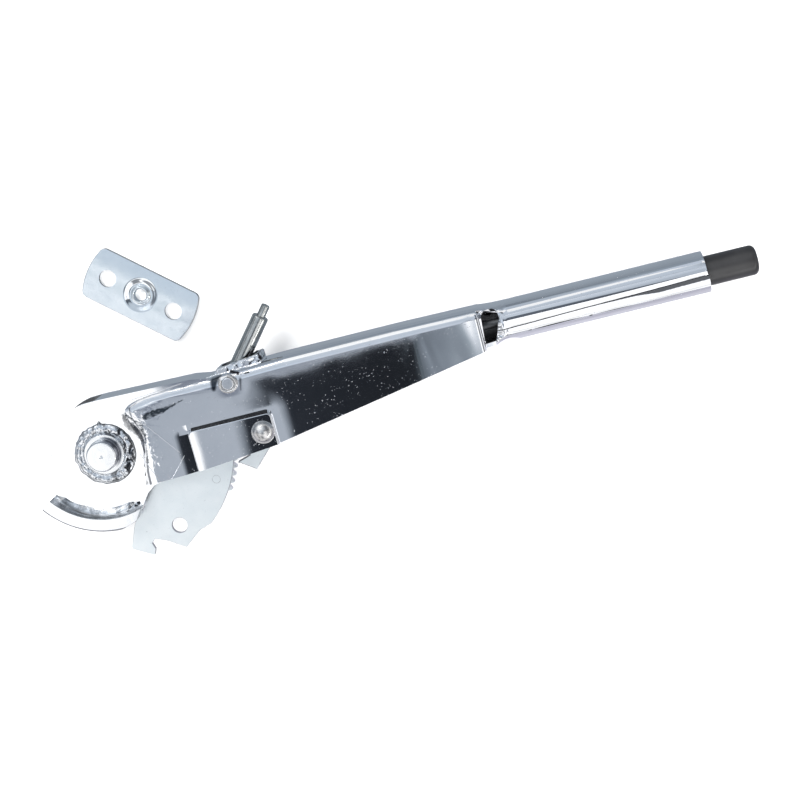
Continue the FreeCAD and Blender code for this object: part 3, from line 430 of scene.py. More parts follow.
turned = metal("turned_steel", (0.60, 0.61, 0.60), (0.32, 0.33, 0.32), rough=(0.12, 0.24), grain_scale=1600.0,
               grain_depth=0.00002, blotch_scale=90.0, spots=0.5)
domed = metal("rivet_dome", (0.72, 0.71, 0.70), (0.40, 0.40, 0.40), rough=(0.16, 0.30), grain=(0.25, 1.6, 1),
              grain_scale=1300.0, grain_depth=0.00003, blotch_scale=150.0, spots=0.5)
tooth = metal("hardened_steel", (0.84, 0.88, 0.89), (0.58, 0.62, 0.64), rough=(0.22, 0.40), grain_scale=1500.0,
              grain_depth=0.00002, blotch_scale=110.0, spots=0.5)
weld = metal("weld_metal", (0.90, 0.92, 0.94), (0.60, 0.63, 0.67), rough=(0.05, 0.22), grain_scale=1300.0,
             grain_depth=0.00004, wave_scale=200.0, wave_depth=0.0003, blotch_scale=170.0, spots=0.5,
             stain_and_shade=weld_painted_shade)


def plastic(name, color, rough):
    mat, g, bsdf = new_shader(name, "ShaderNodeBsdfPrincipled")
    base = g.coords()
    cloud = g.noise(base, 60.0, 4.0, 0.6)
    light = tuple(min(1.0, c * 1.6 + 0.006) for c in color)
    g.link(g.ramp(cloud, [(0.3, color), (0.75, light)]), bsdf.inputs["Base Color"])
    g.link(g.madd(cloud, 0.16, rough), bsdf.inputs["Roughness"])
    grain = g.noise(base, 1800.0, 2.0, 0.5)
    g.link(g.bump(grain, 1.0, 0.000012), bsdf.inputs["Normal"])
    return mat


black = plastic("black_moulding", (0.012, 0.012, 0.013), 0.26)
bush = plastic("dark_bush", (0.03, 0.03, 0.03), 0.45)

FINISH = {
    "chrome_shell": chrome, "zinc": zinc, "tooth_steel": tooth, "plated_steel": plated, "weld_metal": weld,
    "quadrant_steel": plated, "rivet_steel": domed, "pawl_steel": zinc, "stud_steel": turned,
    "bush_plastic": bush, "button_plastic": black, "spring_steel": plated,
}
SLOT = {s["node"]: s["material_slot"] for s in frame["record"]["subparts"]}
OWN = {"push_rod": oiled, "rod_end_cap": oiled, "rod_guide": dull, "pivot_shaft": shaft_steel}
for name, obj in NODES.items():
    set_material(obj, OWN.get(name, FINISH[SLOT[name]]))


# ---------------------------------------------------------------- mesh helpers
LARGE_FACE = 0.00003  # area in square metres above which a face keeps its own normal


def new_object(name, data):
    obj = bpy.data.objects.new(name, data)
    bpy.context.scene.collection.objects.link(obj)
    return obj


def mesh_object(name, bm):
    """Object made from a bmesh, which is freed."""
    data = bpy.data.meshes.new(name)
    bm.to_mesh(data)
    bm.free()
    return new_object(name, data)


def settle(obj):
    """Apply the modifiers of a piece to its mesh."""
    bpy.context.view_layer.update()
    deps = bpy.context.evaluated_depsgraph_get()
    data = bpy.data.meshes.new_from_object(obj.evaluated_get(deps))
    obj.modifiers.clear()
    obj.data = data


def smooth(obj, angle=32.0):
    """Smooth shading in which large flat faces keep their own normal."""
    for poly in obj.data.polygons:
        poly.use_smooth = True
    obj.data.set_sharp_from_angle(angle=math.radians(angle))
    mod = obj.modifiers.new("normals", "WEIGHTED_NORMAL")
    mod.mode = "FACE_AREA"
    mod.weight = 100
    mod.keep_sharp = True
    settle(obj)
    normals = [Vector(n.vector) for n in obj.data.corner_normals]
    for poly in obj.data.polygons:
        if poly.area > LARGE_FACE:
            for i in poly.loop_indices:
                normals[i] = poly.normal.copy()
    obj.data.normals_split_custom_set(normals)


# ---------------------------------------------------------------- refined copies of CAD nodes
def refined(node, name, body, mat, bevel=0.0003, angle=32.0, done=True, shape=None):
    """A bevelled, smooth-shaded copy that stands for a CAD node. The hook shape edits it before the bevel."""
    data = NODES[node].data.copy()
    data.name = name
    bm = bmesh.new()
    bm.from_mesh(data)
    bmesh.ops.remove_doubles(bm, verts=bm.verts, dist=2e-6)
    bmesh.ops.dissolve_degenerate(bm, edges=bm.edges, dist=1e-6)
    bmesh.ops.dissolve_limit(bm, angle_limit=math.radians(0.6), verts=bm.verts, edges=bm.edges)
    if shape is not None:
        shape(bm)
    bm.to_mesh(data)
    bm.free()
    obj = new_object(name, data)
    if bevel > 0:
        mod = obj.modifiers.new("edge", "BEVEL")
        mod.width = bevel
        mod.segments = 2
        mod.limit_method = "ANGLE"
        mod.angle_limit = math.radians(angle)
        mod.use_clamp_overlap = True
        settle(obj)
    if done:
        smooth(obj, angle)
    set_material(obj, mat)
    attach(obj, body)
    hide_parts(node)
    return obj


def seam_y(x):
    """Place of the grip's open seam at x."""
    (x0, y0), (x1, y1) = SEAM
    return y0 + (y1 - y0) * (x - x0) / (x1 - x0)


def ease(t):
    """Smooth step from 0 to 1."""
    t = max(0.0, min(1.0, t))
    return t * t * (3.0 - 2.0 * t)


def slice_faces(bm, test, planes):
    """Cut the faces that pass the test along a list of planes (point, normal)."""
    for point, normal in planes:
        faces = [f for f in bm.faces if test(f)]
        geom = list(faces)
        geom += list({e for f in faces for e in f.edges})
        geom += list({v for f in faces for v in f.verts})
        bmesh.ops.bisect_plane(bm, geom=geom, dist=1e-7, plane_co=point, plane_no=normal)


# ---------------------------------------------------------------- lever shell
CHEEK = 0.012  # outer face of a cheek, measured from the middle plane
WALL = 0.014   # outer face of a channel wall, likewise
DULL, CREASE_SHADE, CUT, BRIGHT = 1, 2, 3, 4  # material slots of the shell that follow the chrome

# the line on the cheek where the ramp up to the channel wall starts, as x and y
STEP = ((0.0274, -0.0266), (0.0240, -0.0080), (0.0226, 0.0050), (0.0198, 0.0130), (0.0172, 0.0190),
        (0.0168, 0.0235), (0.0190, 0.0290))
# upper edge of the wall, and the lower edge of the channel, as x and y
TOP_LINE = ((0.0128, 0.0242), (0.0500, 0.0290), (0.0750, 0.0320), (0.1250, 0.0339))
LOW_LINE = ((0.0561, -0.0250), (0.1108, -0.0196), (0.1802, -0.0070), (0.2520, 0.0064))
# lower left corner of the wall, as y and x: the modelled step, and where its ramp now starts and ends
CHAIN = ((-0.0266, 0.0274), (-0.0080, 0.0240), (0.0050, 0.0226))
RUN_IN = ((-0.0270, 0.0165), (-0.0190, 0.0175), (-0.0130, 0.0190), (-0.0050, 0.0214), (0.0050, 0.0226))
RUN_OUT = ((-0.0270, 0.0228), (-0.0157, 0.0236), (-0.0072, 0.0256), (0.0009, 0.0290), (0.0063, 0.0320))
# how far the channel's upper left corner is raised, as x and rise
LIFT = ((0.012, 0.0020), (0.022, 0.0030), (0.030, 0.0043), (0.040, 0.0043), (0.050, 0.0036),
        (0.064, 0.0018), (0.082, 0.0))


def along_line(rows, x):
    """Piecewise linear value of a list of (x, value) pairs."""
    if x <= rows[0][0]:
        return rows[0][1]
    for (x0, y0), (x1, y1) in zip(rows, rows[1:]):
        if x <= x1:
            return y0 + (y1 - y0) * (x - x0) / (x1 - x0)
    return rows[-1][1]


def step_distance(x, y):
    """Distance from the line where the ramp starts."""
    best = 1.0
    for (ax, ay), (bx, by) in zip(STEP, STEP[1:]):
        dx, dy = bx - ax, by - ay
        t = max(0.0, min(1.0, ((x - ax) * dx + (y - ay) * dy) / (dx * dx + dy * dy)))
        best = min(best, math.hypot(x - ax - t * dx, y - ay - t * dy))
    return best


def shell_edges(bm):
    """Sloped upper side of the raised panel and a rounded lower channel edge."""
    for v in bm.verts:
        x, y, z = v.co
        if abs(abs(z - MID) - WALL) < 0.0003 and 0.0562 < x < 0.1115 and -0.0012 < y < 0.0026:
            k = ease((y + 0.0012) / 0.0026) * (0.45 + 0.55 * ease((x - 0.0575) / 0.012))
            v.co.y += 0.0024 * (k * (1.0 - 0.4 * ease((x - 0.100) / 0.011)))
        if -0.0045 < x < 0.0030 and y > 0.0335:
            v.co.x = 0.0032
    low = []
    for e in bm.edges:
        one, two = e.verts[0].co, e.verts[1].co
        if len(e.link_faces) != 2 or e.calc_face_angle(0.0) < math.radians(40):
            continue
        if all(abs(abs(c.z - MID) - WALL) < 0.0002 and 0.1112 < c.x < 0.2515 and
               abs(c.y - along_line(LOW_LINE, c.x)) < 0.0006 for c in (one, two)):
            low.append(e)
    if low:
        bmesh.ops.bevel(bm, geom=low, offset=0.0011, segments=4, profile=0.5, affect="EDGES", clamp_overlap=True)


def slice_shell(bm):
    """Fine faces on the grip's seam, the slot lip, the window's ends and the ramp, so that they can bend."""

    def on_grip(f):
        c = f.calc_center_median()
        return c.x > 0.2615 and c.z > MID + 0.003

    cuts = [((x / 1000.0, 0, 0), (1, 0, 0)) for x in range(264, 395, 3)]
    turn = math.atan2(SEAM[1][1] - SEAM[0][1], SEAM[1][0] - SEAM[0][0])
    side = (-math.sin(turn), math.cos(turn), 0.0)
    for off in (-7.5, -6.5, -5.5, -4.6, -3.8, -3.1, -2.5, -1.9, -1.3, -0.7, -0.2, 0.3, 0.7, 1.2, 1.9, 2.8):
        cuts.append(((SEAM[0][0], SEAM[0][1] + off / 1000.0, 0), side))
    slice_faces(bm, on_grip, cuts)

    def on_lip(f):
        c = f.calc_center_median()
        return 0.079 < c.x < 0.116 and c.y > 0.0325

    cuts = [((0.0795 + 0.001 * i, 0, 0), (1, 0, 0)) for i in range(37)]
    cuts += [((0, 0.034 + 0.001 * i, 0), (0, 1, 0)) for i in range(6)]
    cuts += [((0, 0, MID + 0.0013 * i), (0, 0, 1)) for i in range(-8, 9)]
    slice_faces(bm, on_lip, cuts)

    def near_mouth(f):
        xs = [v.co.x for v in f.verts]
        c = f.calc_center_median()
        return max(xs) > 0.2494 and min(xs) < 0.2672 and c.z > MID + 0.009 and abs(f.normal.x) < 0.6

    slice_faces(bm, near_mouth, [((x / 10000.0, 0, 0), (1, 0, 0)) for x in
                                 (2494, 2499, 2504, 2508, 2512, 2516, 2643, 2647, 2651, 2656, 2662)])

    def on_wall(f):
        c = f.calc_center_median()
        return 0.0122 < abs(c.z - MID) < 0.01405 and abs(f.normal.z) > 0.2

    def on_step(f):
        c = f.calc_center_median()
        return on_wall(f) and c.x < 0.047

    def on_rise(f):
        c = f.calc_center_median()
        return on_wall(f) and c.x < 0.084 and c.y > 0.008

    slice_faces(bm, on_wall, [((0.047, 0, 0), (1, 0, 0)), ((0.084, 0, 0), (1, 0, 0))])
    slice_faces(bm, on_rise, [((0, 0.010, 0), (0, 1, 0))])
    slice_faces(bm, on_rise, [((0.050 + 0.004 * i, 0, 0), (1, 0, 0)) for i in range(9)] +
                [((0, 0.0110 + 0.0018 * i, 0), (0, 1, 0)) for i in range(11)])
    cuts = [((0.0145 + 0.0010 * i, 0, 0), (1, 0, 0)) for i in range(26)]
    cuts += [((0, -0.026 + 0.003 * i, 0), (0, 1, 0)) for i in range(12)]
    cuts += [((0, 0.0110 + 0.0018 * i, 0), (0, 1, 0)) for i in range(11)]
    slice_faces(bm, on_step, cuts)


def bend_shell(bm):
    """Rolled window ends, raised and ramped channel corner, seam lips on the grip, crumpled slot lip."""
    for v in bm.verts:
        x, y, z = v.co
        if z > MID + 0.0118 and 0.2490 < x < 0.2668 and math.hypot(y - GRIP_Y, z - MID) > 0.0119:
            roll = max((x - 0.2494) / 0.0026, 0.0) if x < 0.258 else max((0.2664 - x) / 0.0030, 0.0)
            inward = Vector((0.0, 0.35 * (GRIP_Y - y), MID - z)).normalized()
            v.co += inward * 0.0019 * (1.0 - math.sqrt(max(0.0, 1.0 - min(1.0, roll) ** 2)))
    for v in bm.verts:
        x, y, z = v.co
        high = abs(z - MID)
        if 0.010 < x < 0.082 and y > 0.010 and high > 0.007:
            on_cheek = high < 0.0121 and (x < 0.068 or high > 0.0119)
            if not on_cheek or y < along_line(TOP_LINE, x) + 0.0005:
                v.co.y += along_line(LIFT, x) * ease((y - 0.011) / 0.011) * ease((high - 0.007) / 0.0045)
                if high < 0.01215:
                    v.co.y = max(y, min(v.co.y, 0.0317 - (x + 0.003) * 0.0278))
        if x < 0.046 and high > 0.01205 and -0.0275 < y < 0.034:
            x, y = v.co.x, v.co.y
            k = ease(step_distance(x, y - along_line(LIFT, x) * ease((y - 0.011) / 0.013)) / 0.0075)
            if y < 0.006:
                edge, start = along_line(CHAIN, y), along_line(RUN_IN, y)
                v.co.x = x - (edge - start) * (1.0 - min(1.0, max(0.0, (x - edge) / 0.0170)))
                low = ease((v.co.x - start) / (along_line(RUN_OUT, y) - start))
                k += (low - k) * ease((0.006 - y) / 0.006)
            keep = CHEEK + (high - CHEEK) * (0.02 + 0.98 * k)
            v.co.z = MID + math.copysign(keep, z - MID)
        r = math.hypot(y - GRIP_Y, z - MID)
        if x > 0.2665 and z > MID + 0.003 and r > 0.0118:
            k = ease((x - 0.268) / 0.118)
            wander = 0.00022 * noise.noise(Vector((x * 90.0, 3.1, 0.0)))
            wander += 0.0001 * noise.noise(Vector((x * 420.0, 0, 0)))
            d = y - seam_y(x)
            if d > 0:
                dip = 0.00035 * (1.0 - ease(d / 0.0013))
            else:
                wide = 0.0046 + 0.0028 * k
                dip = (0.00035 + 0.0011 * k) * (1.0 - ease(-d / wide))
            v.co.z -= dip * ease((x - 0.2665) / 0.004)
            if abs(d) < 0.0012:
                v.co.y += wander
        if x > 0.385 and r > 0.0103:
            v.co.x -= 0.0018 * ease((x - 0.385) / 0.0095)
            if y < seam_y(x) + 0.0001:
                v.co.x += 0.0008 * ease((x - 0.385) / 0.0095)
        if 0.079 < x < 0.1165 and y > 0.0335 and abs(z - MID) < 0.0105:
            k = ease((y - 0.0335) / 0.002)
            q = v.co * 230.0
            v.co.x += 0.0006 * k * noise.noise(q + Vector((7, 0, 0)))
            v.co.y -= 0.0009 * k * abs(noise.noise(q + Vector((0, 5, 0))))
            v.co.z += 0.0009 * k * noise.noise(q + Vector((0, 0, 9)))


def paint_shell(obj):
    """Own looks for the inside and the cut edges of the sheet, and painted shade in the creases."""
    for mat in (dull, crease_shade, cut_edge, bright_zinc):
        obj.data.materials.append(mat)
    for poly in obj.data.polygons:
        c = poly.center
        axis_y = GRIP_Y if c.x > 0.255 else 0.004 if c.x > 0.03 else 0.0
        inward = Vector((0.0, axis_y - c.y, MID - c.z))
        if inward.length < 1e-6:
            continue
        facing = poly.normal.dot(inward.normalized())
        high = abs(c.z - MID)
        out = math.hypot(c.x, c.y)
        flat = abs(poly.normal.z)
        if c.x > 0.255:
            inner = facing > 0.5 and not (c.x < 0.270 and c.y > 0.0245)
        else:
            inner = high < 0.0119 and (facing > 0.5 or (flat > 0.6 and poly.normal.z * (MID - c.z) > 0.0))
        if inner:
            poly.material_index = DULL
        # painted shade on the raised panel's upper riser
        elif 0.0140 < high < 0.0164 and 0.059 < c.x < 0.1095 and 0.0012 < c.y < 0.0052 and poly.normal.y > 0.35:
            poly.material_index = CREASE_SHADE
        elif c.x < 0.0028 and c.y > 0.012 and flat < 0.3 and high < 0.0121 and out > 0.033:
            poly.material_index = BRIGHT
        # painted shadow line along the cheek's rim at the pivot end
        elif c.x < 0.010 and high > 0.0112 and 0.3 < flat < 0.985 and out > 0.033:
            poly.material_index = CREASE_SHADE
        elif c.x < 0.030 and c.y < 0.030 and flat < 0.97 and high < 0.0121 and out > 0.028:
            poly.material_index = CUT
        # painted shade along the channel's lower edge
        elif 0.0136 < high < 0.0167 and 0.018 < c.x < 0.112 and c.y < -0.015 and poly.normal.y < -0.3 and flat > 0.3:
            poly.material_index = CREASE_SHADE


def build_shell():
    """The folded sheet, bent and painted."""
    obj = refined("lever_shell", "folded_shell", "lever", chrome, bevel=0.0004, done=False, shape=shell_edges)
    bm = bmesh.new()
    bm.from_mesh(obj.data)
    slice_shell(bm)
    bend_shell(bm)
    bm.to_mesh(obj.data)
    bm.free()
    smooth(obj, 38.0)
    paint_shell(obj)


# ---------------------------------------------------------------- other solid pieces
def short_button(bm):
    """Shorten the button a little."""
    for v in bm.verts:
        if v.co.x > 0.41:
            v.co.x -= 0.0012


def plate_profile():
    """Radius and height rows of the dish and its collar, from the flat top round to the flat underside."""
    rows = []
    for i in range(13):
        t = i / 12.0
        rows.append((0.0114 - 0.0044 * t, 0.0037 - 0.00125 * ease(t)))
    rows += [(0.0064, 0.00247), (0.0060, 0.0026), (0.00575, 0.0030), (0.0057, 0.0038), (0.0056, 0.0044),
             (0.0053, 0.0048), (0.0049, 0.00497), (0.0045, 0.0049), (0.0042, 0.0047), (0.0040, 0.0044),
             (0.0040, 0.0003), (0.0043, 0.00002), (0.0074, 0.00002)]
    for i in range(7):
        t = i / 6.0
        rows.append((0.0078 + 0.0036 * t, 0.00004 + 0.00116 * ease(t)))
    return rows


def plate_dish(bm):
    """Swap the centre of the plate for a drawn dish with a finely turned collar."""
    inside = [f for f in bm.faces if all(math.hypot(v.co.x - PLATE_X, v.co.y - PLATE_Y) < 0.01145 for v in f.verts)]
    bmesh.ops.delete(bm, geom=inside, context="FACES")
    rows = plate_profile()
    n = 96
    grid = []
    for i in range(n):
        a = 2.0 * math.pi * i / n
        grid.append([bm.verts.new((PLATE_X + r * math.cos(a), PLATE_Y + r * math.sin(a), z)) for r, z in rows])
    for i in range(n):
        one, two = grid[i], grid[(i + 1) % n]
        for j in range(len(rows) - 1):
            bm.faces.new((one[j], one[j + 1], two[j + 1], two[j]))


def build_plate():
    """The loose plate, with cut edges round its outline and its end holes."""
    obj = refined("fixing_plate", "dished_plate", "plate", bright_zinc, bevel=0.0, angle=40.0, shape=plate_dish)
    obj.data.materials.append(cut_edge)
    for poly in obj.data.polygons:
        far = math.hypot(poly.center.x - PLATE_X, poly.center.y - PLATE_Y) > 0.0115
        if far and poly.normal.z < 0.92 and poly.center.z > 0.0013:
            poly.material_index = 1


def cut_sides(obj):
    """Look of a cut edge on all faces of a level plate that do not lie flat."""
    obj.data.materials.append(cut_edge)
    for poly in obj.data.polygons:
        if abs(poly.normal.z) < 0.985:
            poly.material_index = 1


build_shell()
cut_sides(refined("cable_quadrant", "quadrant_bar", "lever", plated, bevel=0.0004))
refined("pivot_shaft", "shaft", "lever", shaft_steel, bevel=0.0003)
refined("pawl_rivet", "rivet_domes", "lever", domed, bevel=0.0)
refined("cable_pin", "clevis_pin", "lever", plated, bevel=0.0002)
refined("swivel_rod", "cable_stud", "swivel", turned, bevel=0.0002)
build_plate()
cut_sides(refined("ratchet_sector_plate", "sector_front", "sector", zinc, bevel=0.0004))
cut_sides(refined("pawl", "pawl_plate", "pawl", zinc, bevel=0.0005))
refined("push_button", "release_button", "button_rod", black, bevel=0.0003, shape=short_button)


# ---------------------------------------------------------------- weld beads
def bead_mesh(name, spans, mat, body, node):
    """Lumpy weld beads. Each span gives centre, radii, angles, base height, rise, side and seed."""
    bm = bmesh.new()
    for cx, cy, r_in, r_out, a0, a1, base, rise, side, seed in spans:
        closed = abs(a1 - a0) > 359.0
        steps = int(abs(a1 - a0) / 1.6)
        across = 16
        grid = []
        for i in range(steps if closed else steps + 1):
            deg = a0 + (a1 - a0) * i / steps
            a = math.radians(deg)
            row = []
            ring = Vector((math.cos(a) * 3.0, math.sin(a) * 3.0, seed))
            fine = Vector((math.cos(a) * 9.0, math.sin(a) * 9.0, seed))
            edge = 0.5 + 0.5 * noise.noise(ring * 2.2)
            lump = 0.5 + 0.5 * noise.noise(fine)
            if closed:
                harsh = 0.5 + 0.5 * math.cos(a - math.radians(-20.0))
                nub = math.exp(-((math.degrees(a) - 84.0) / 2.6) ** 2)
                r_lo = r_in
                r_hi = r_out - (r_out - r_in) * 0.22 * edge * (1.2 - harsh) + 0.0016 * nub
                end = 1.0
            else:
                left = min(i, steps - i)
                harsh = ease((deg - 245.0) / 25.0)
                r_lo = r_in + (r_out - r_in) * (0.10 + 0.16 * edge) + 0.0022 * (1.0 - ease(left / 5.0))
                r_hi = r_out
                end = ease(left / 4.0)
            for j in range(across + 1):
                t = j / across
                r = r_lo + (r_hi - r_lo) * t
                if closed:
                    dome = math.sin(math.pi * t) ** 0.6
                else:
                    dome = (1.0 - (1.0 - t) ** 2.2) * (1.0 - 0.40 * ease((t - 0.62) / 0.38))
                scallop = 0.5 + 0.5 * math.cos(a * 17.0 + 2.4 * math.sin(t * 3.0) + 3.0 * lump)
                q = Vector((math.cos(a) * r, math.sin(a) * r, seed * 0.01))
                rough = 0.5 + 0.5 * noise.noise(q * 300.0) + 0.12 * noise.noise(q * 900.0)
                h = rise * dome * (0.46 + 0.20 * lump + 0.05 * scallop + (0.10 + 0.26 * harsh) * rough) * end
                h = min(h, rise)
                if j in (0, across) and closed:
                    h = -0.0002
                row.append(bm.verts.new((cx + r * math.cos(a), cy + r * math.sin(a), base + side * h)))
            grid.append(row)
        n = len(grid)
        for i in range(n if closed else n - 1):
            nxt = grid[(i + 1) % n]
            for j in range(across):
                quad = (grid[i][j], grid[i][j + 1], nxt[j + 1], nxt[j])
                bm.faces.new(quad if side < 0 else quad[::-1])
    bmesh.ops.recalc_face_normals(bm, faces=bm.faces)
    obj = mesh_object(name, bm)
    for poly in obj.data.polygons:
        poly.use_smooth = True
    set_material(obj, mat)
    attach(obj, body)
    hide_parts(node)


bead_mesh("shaft_beads", [
    (0.0, 0.0, 0.01295, 0.0206, 0.0, 360.0, 0.034, 0.0024, 1, 1.7),
    (0.0, 0.0, 0.01295, 0.0206, 0.0, 360.0, 0.010, 0.0024, -1, 6.3)], weld, "lever", "pivot_welds")
bead_mesh("quadrant_bead", [
    (-0.0017, 0.0082, 0.0423, 0.04965, 216.2, 288.5, 0.034, 0.0034, 1, 3.9)], weld, "lever", "quadrant_weld")


# ---------------------------------------------------------------- return spring
def build_spring():
    """Wire coil of even pitch, for the spring that the button shortens; the mesh is built at one length."""
    low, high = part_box("return_spring")
    x0, x1 = low[0], high[0]
    wire = 0.0008
    ring = (high[1] - low[1]) / 2.0 - wire
    turns = 9.0
    steps = int(turns * 28)
    sides = 10
    bm = bmesh.new()
    loops = []
    for i in range(steps + 1):
        t = i / steps
        x = x0 + wire + (x1 - x0 - 2.0 * wire) * t
        a = 2.0 * math.pi * turns * t
        out = Vector((0.0, math.cos(a), math.sin(a)))
        centre = Vector((x, GRIP_Y, MID)) + out * ring
        loop = []
        for k in range(sides):
            b = 2.0 * math.pi * k / sides
            loop.append(bm.verts.new(centre + out * (wire * math.cos(b)) + Vector((wire * math.sin(b), 0, 0))))
        loops.append(loop)
    for one, two in zip(loops, loops[1:]):
        for k in range(sides):
            bm.faces.new((one[k], one[(k + 1) % sides], two[(k + 1) % sides], two[k]))
    bm.faces.new(loops[0])
    bm.faces.new(loops[-1][::-1])
    bmesh.ops.recalc_face_normals(bm, faces=bm.faces)
    obj = mesh_object("coil_spring", bm)
    for poly in obj.data.polygons:
        poly.use_smooth = True
    set_material(obj, plated)
    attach(obj, "lever")
    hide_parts("return_spring")
    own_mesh(obj)


build_spring()


# ---------------------------------------------------------------- surroundings
def make_floor():
    bm = bmesh.new()
    bmesh.ops.create_grid(bm, x_segments=1, y_segments=1, size=3.0)
    obj = mesh_object("floor", bm)
    obj.location = (0.2, 0.0, -0.0004)
    mat, g, bsdf = new_shader("pale_floor", "ShaderNodeBsdfPrincipled")
    cloud = g.noise(g.coords(), 3.0, 2.0, 0.5)
    g.link(g.ramp(cloud, [(0.3, 0.93), (0.7, 0.95)]), bsdf.inputs["Base Color"])
    bsdf.inputs["Roughness"].default_value = 0.9
    bsdf.inputs["Specular IOR Level"].default_value = 0.1
    obj.data.materials.append(mat)


def make_world():
    world = bpy.data.worlds.new("studio")
    bpy.context.scene.world = world
    world.use_nodes = True
    g = Graph(world.node_tree)
    out = g.add("ShaderNodeOutputWorld")
    bg = g.add("ShaderNodeBackground")
    g.link(bg.outputs[0], out.inputs["Surface"])
    tex = g.add("ShaderNodeTexCoord")
    cloud = g.noise(tex.outputs["Generated"], 2.0, 2.0, 0.5)
    g.link(g.ramp(cloud, [(0.3, 0.94), (0.7, 1.0)]), bg.inputs["Color"])
    bg.inputs["Strength"].default_value = 1.0


def card(name, points, faces, mat):
    """A studio card that only polished surfaces reflect."""
    data = bpy.data.meshes.new(name)
    data.from_pydata(points, [], faces)
    obj = new_object(name, data)
    data.materials.append(mat)
    obj.visible_camera = False
    obj.visible_diffuse = False
    obj.visible_shadow = False
    obj.visible_transmission = False
    obj.visible_volume_scatter = False


def level_card(name, x0, y0, x1, y1, z, mat):
    card(name, [(x0, y0, z), (x1, y0, z), (x1, y1, z), (x0, y1, z)], [(0, 1, 2, 3)], mat)


def make_overhead():
    """Card above the lever, with a dark middle and a light band for the loose plate."""
    mat, g, emit = new_shader("overhead", "ShaderNodeEmission")
    x, y, z = g.place()
    shift = g.madd(g.noise(g.coords(), 7.0, 3.0, 0.55, 0.4), 0.05, -0.025)
    glare = (1.3, 1.3, 1.32, 1.0)
    # u and v are the spots on a flat sheet at lever height that mirror this part of the card to the viewer
    u = g.madd(g.plus(x, shift), 0.5, 0.144)
    v = g.madd(g.plus(y, g.times(shift, 0.3)), 0.5, 0.0806)
    u_fac = g.madd(u, 2.0, 0.25)
    along = g.ramp(u_fac, [(0.270, 1.3), (0.292, (0.40, 0.44, 0.50)), (0.43, (0.43, 0.47, 0.53)),
                           (0.455, (0.20, 0.225, 0.26)), (0.475, (0.022, 0.026, 0.034)),
                           (0.635, (0.012, 0.014, 0.018)), (0.66, (0.10, 0.12, 0.14)),
                           (0.70, (0.20, 0.23, 0.27)), (0.735, (0.36, 0.41, 0.46)), (0.755, (0.70, 0.74, 0.80)),
                           (0.775, 1.3)])
    # upper limit of the middle zone, which follows the lever's own taper
    limit = g.ramp(u_fac, [(0.26, 0.42), (0.30, 0.20), (0.36, 0.235), (0.74, 0.262), (0.775, 1.15)])
    above = g.minus(v, g.times(limit, 0.1))
    north = g.ramp(g.plus(above, 0.02),
                   [(0.02, (0.44, 0.48, 0.54)), (0.032, (0.13, 0.15, 0.20)), (0.040, (0.52, 0.57, 0.66)),
                    (0.10, (0.60, 0.66, 0.74)), (0.30, (0.50, 0.56, 0.64)), (0.52, (0.62, 0.68, 0.76)),
                    (0.60, 1.0)])
    south = g.ramp(g.madd(v, -1.0, -0.03), [(0.0, (0.43, 0.47, 0.53)), (0.05, (0.43, 0.47, 0.53)), (0.085, 1.3),
                                           (0.40, (1.2, 1.2, 1.25)), (0.55, (0.75, 0.74, 0.86))])
    lower = g.ramp(u_fac, [(0.27, 1.0), (0.29, 0.0), (0.75, 0.0), (0.775, 1.0)])
    middle = g.mix(g.math("LESS_THAN", v, -0.03), along, g.mix(lower, south, glare))
    color = g.mix(g.over(above, 0.0), middle, north)
    # the part that mirrors to the viewer from the grip
    far = g.ramp(g.plus(above, 0.02), [(0.02, (0.06, 0.07, 0.09)), (0.105, (0.12, 0.14, 0.17)),
                                            (0.130, (0.46, 0.51, 0.58)), (0.22, (0.58, 0.64, 0.72)),
                                            (0.45, (0.50, 0.56, 0.64)), (0.70, (0.62, 0.68, 0.76))])
    far = g.mix(g.over(above, 0.0), glare, far)
    color = g.mix(g.ramp(u_fac, [(0.765, 0.0), (0.785, 1.0)]), color, far)
    # dark flags at the two sides of the card and under its middle
    flags = g.most(g.ramp(g.plus(u, 0.7), [(0.10, 0.0), (0.16, 0.8), (0.40, 0.85), (0.50, 0.0)]),
                   g.ramp(u, [(0.41, 0.0), (0.44, 0.9), (0.86, 0.8), (0.93, 0.2)]))
    under = g.times(g.ramp(g.plus(u, 0.5), [(0.36, 0.0), (0.40, 0.85), (0.62, 0.85), (0.66, 0.0)]),
                    g.ramp(g.times(v, -1.0), [(0.15, 0.0), (0.19, 1.0), (0.56, 1.0), (0.62, 0.0)]))
    flags = g.most(flags, under)
    color = g.mix(flags, color, (0.09, 0.10, 0.12, 1.0))
    # the loose plate mirrors a soft window band
    band = g.ramp(g.madd(across_plate(g, u, v), 10.0, 0.5),
                  [(0.30, (0.66, 0.74, 0.80)), (0.40, (0.78, 0.84, 0.90)), (0.455, (1.25, 1.25, 1.3)),
                   (0.50, (1.05, 1.08, 1.12)), (0.54, (0.68, 0.75, 0.82)), (0.70, (0.60, 0.68, 0.78))])
    zone = g.times(g.ramp(g.plus(u, 0.4), [(0.33, 0.0), (0.36, 1.0), (0.52, 1.0), (0.55, 0.0)]),
                   g.ramp(v, [(0.052, 0.0), (0.062, 1.0), (0.15, 1.0), (0.18, 0.0)]))
    color = g.mix(zone, color, band)
    g.link(color, emit.inputs["Color"])
    level_card("card_overhead", -1.6, -1.4, 1.6, 1.35, CARD_Z, mat)


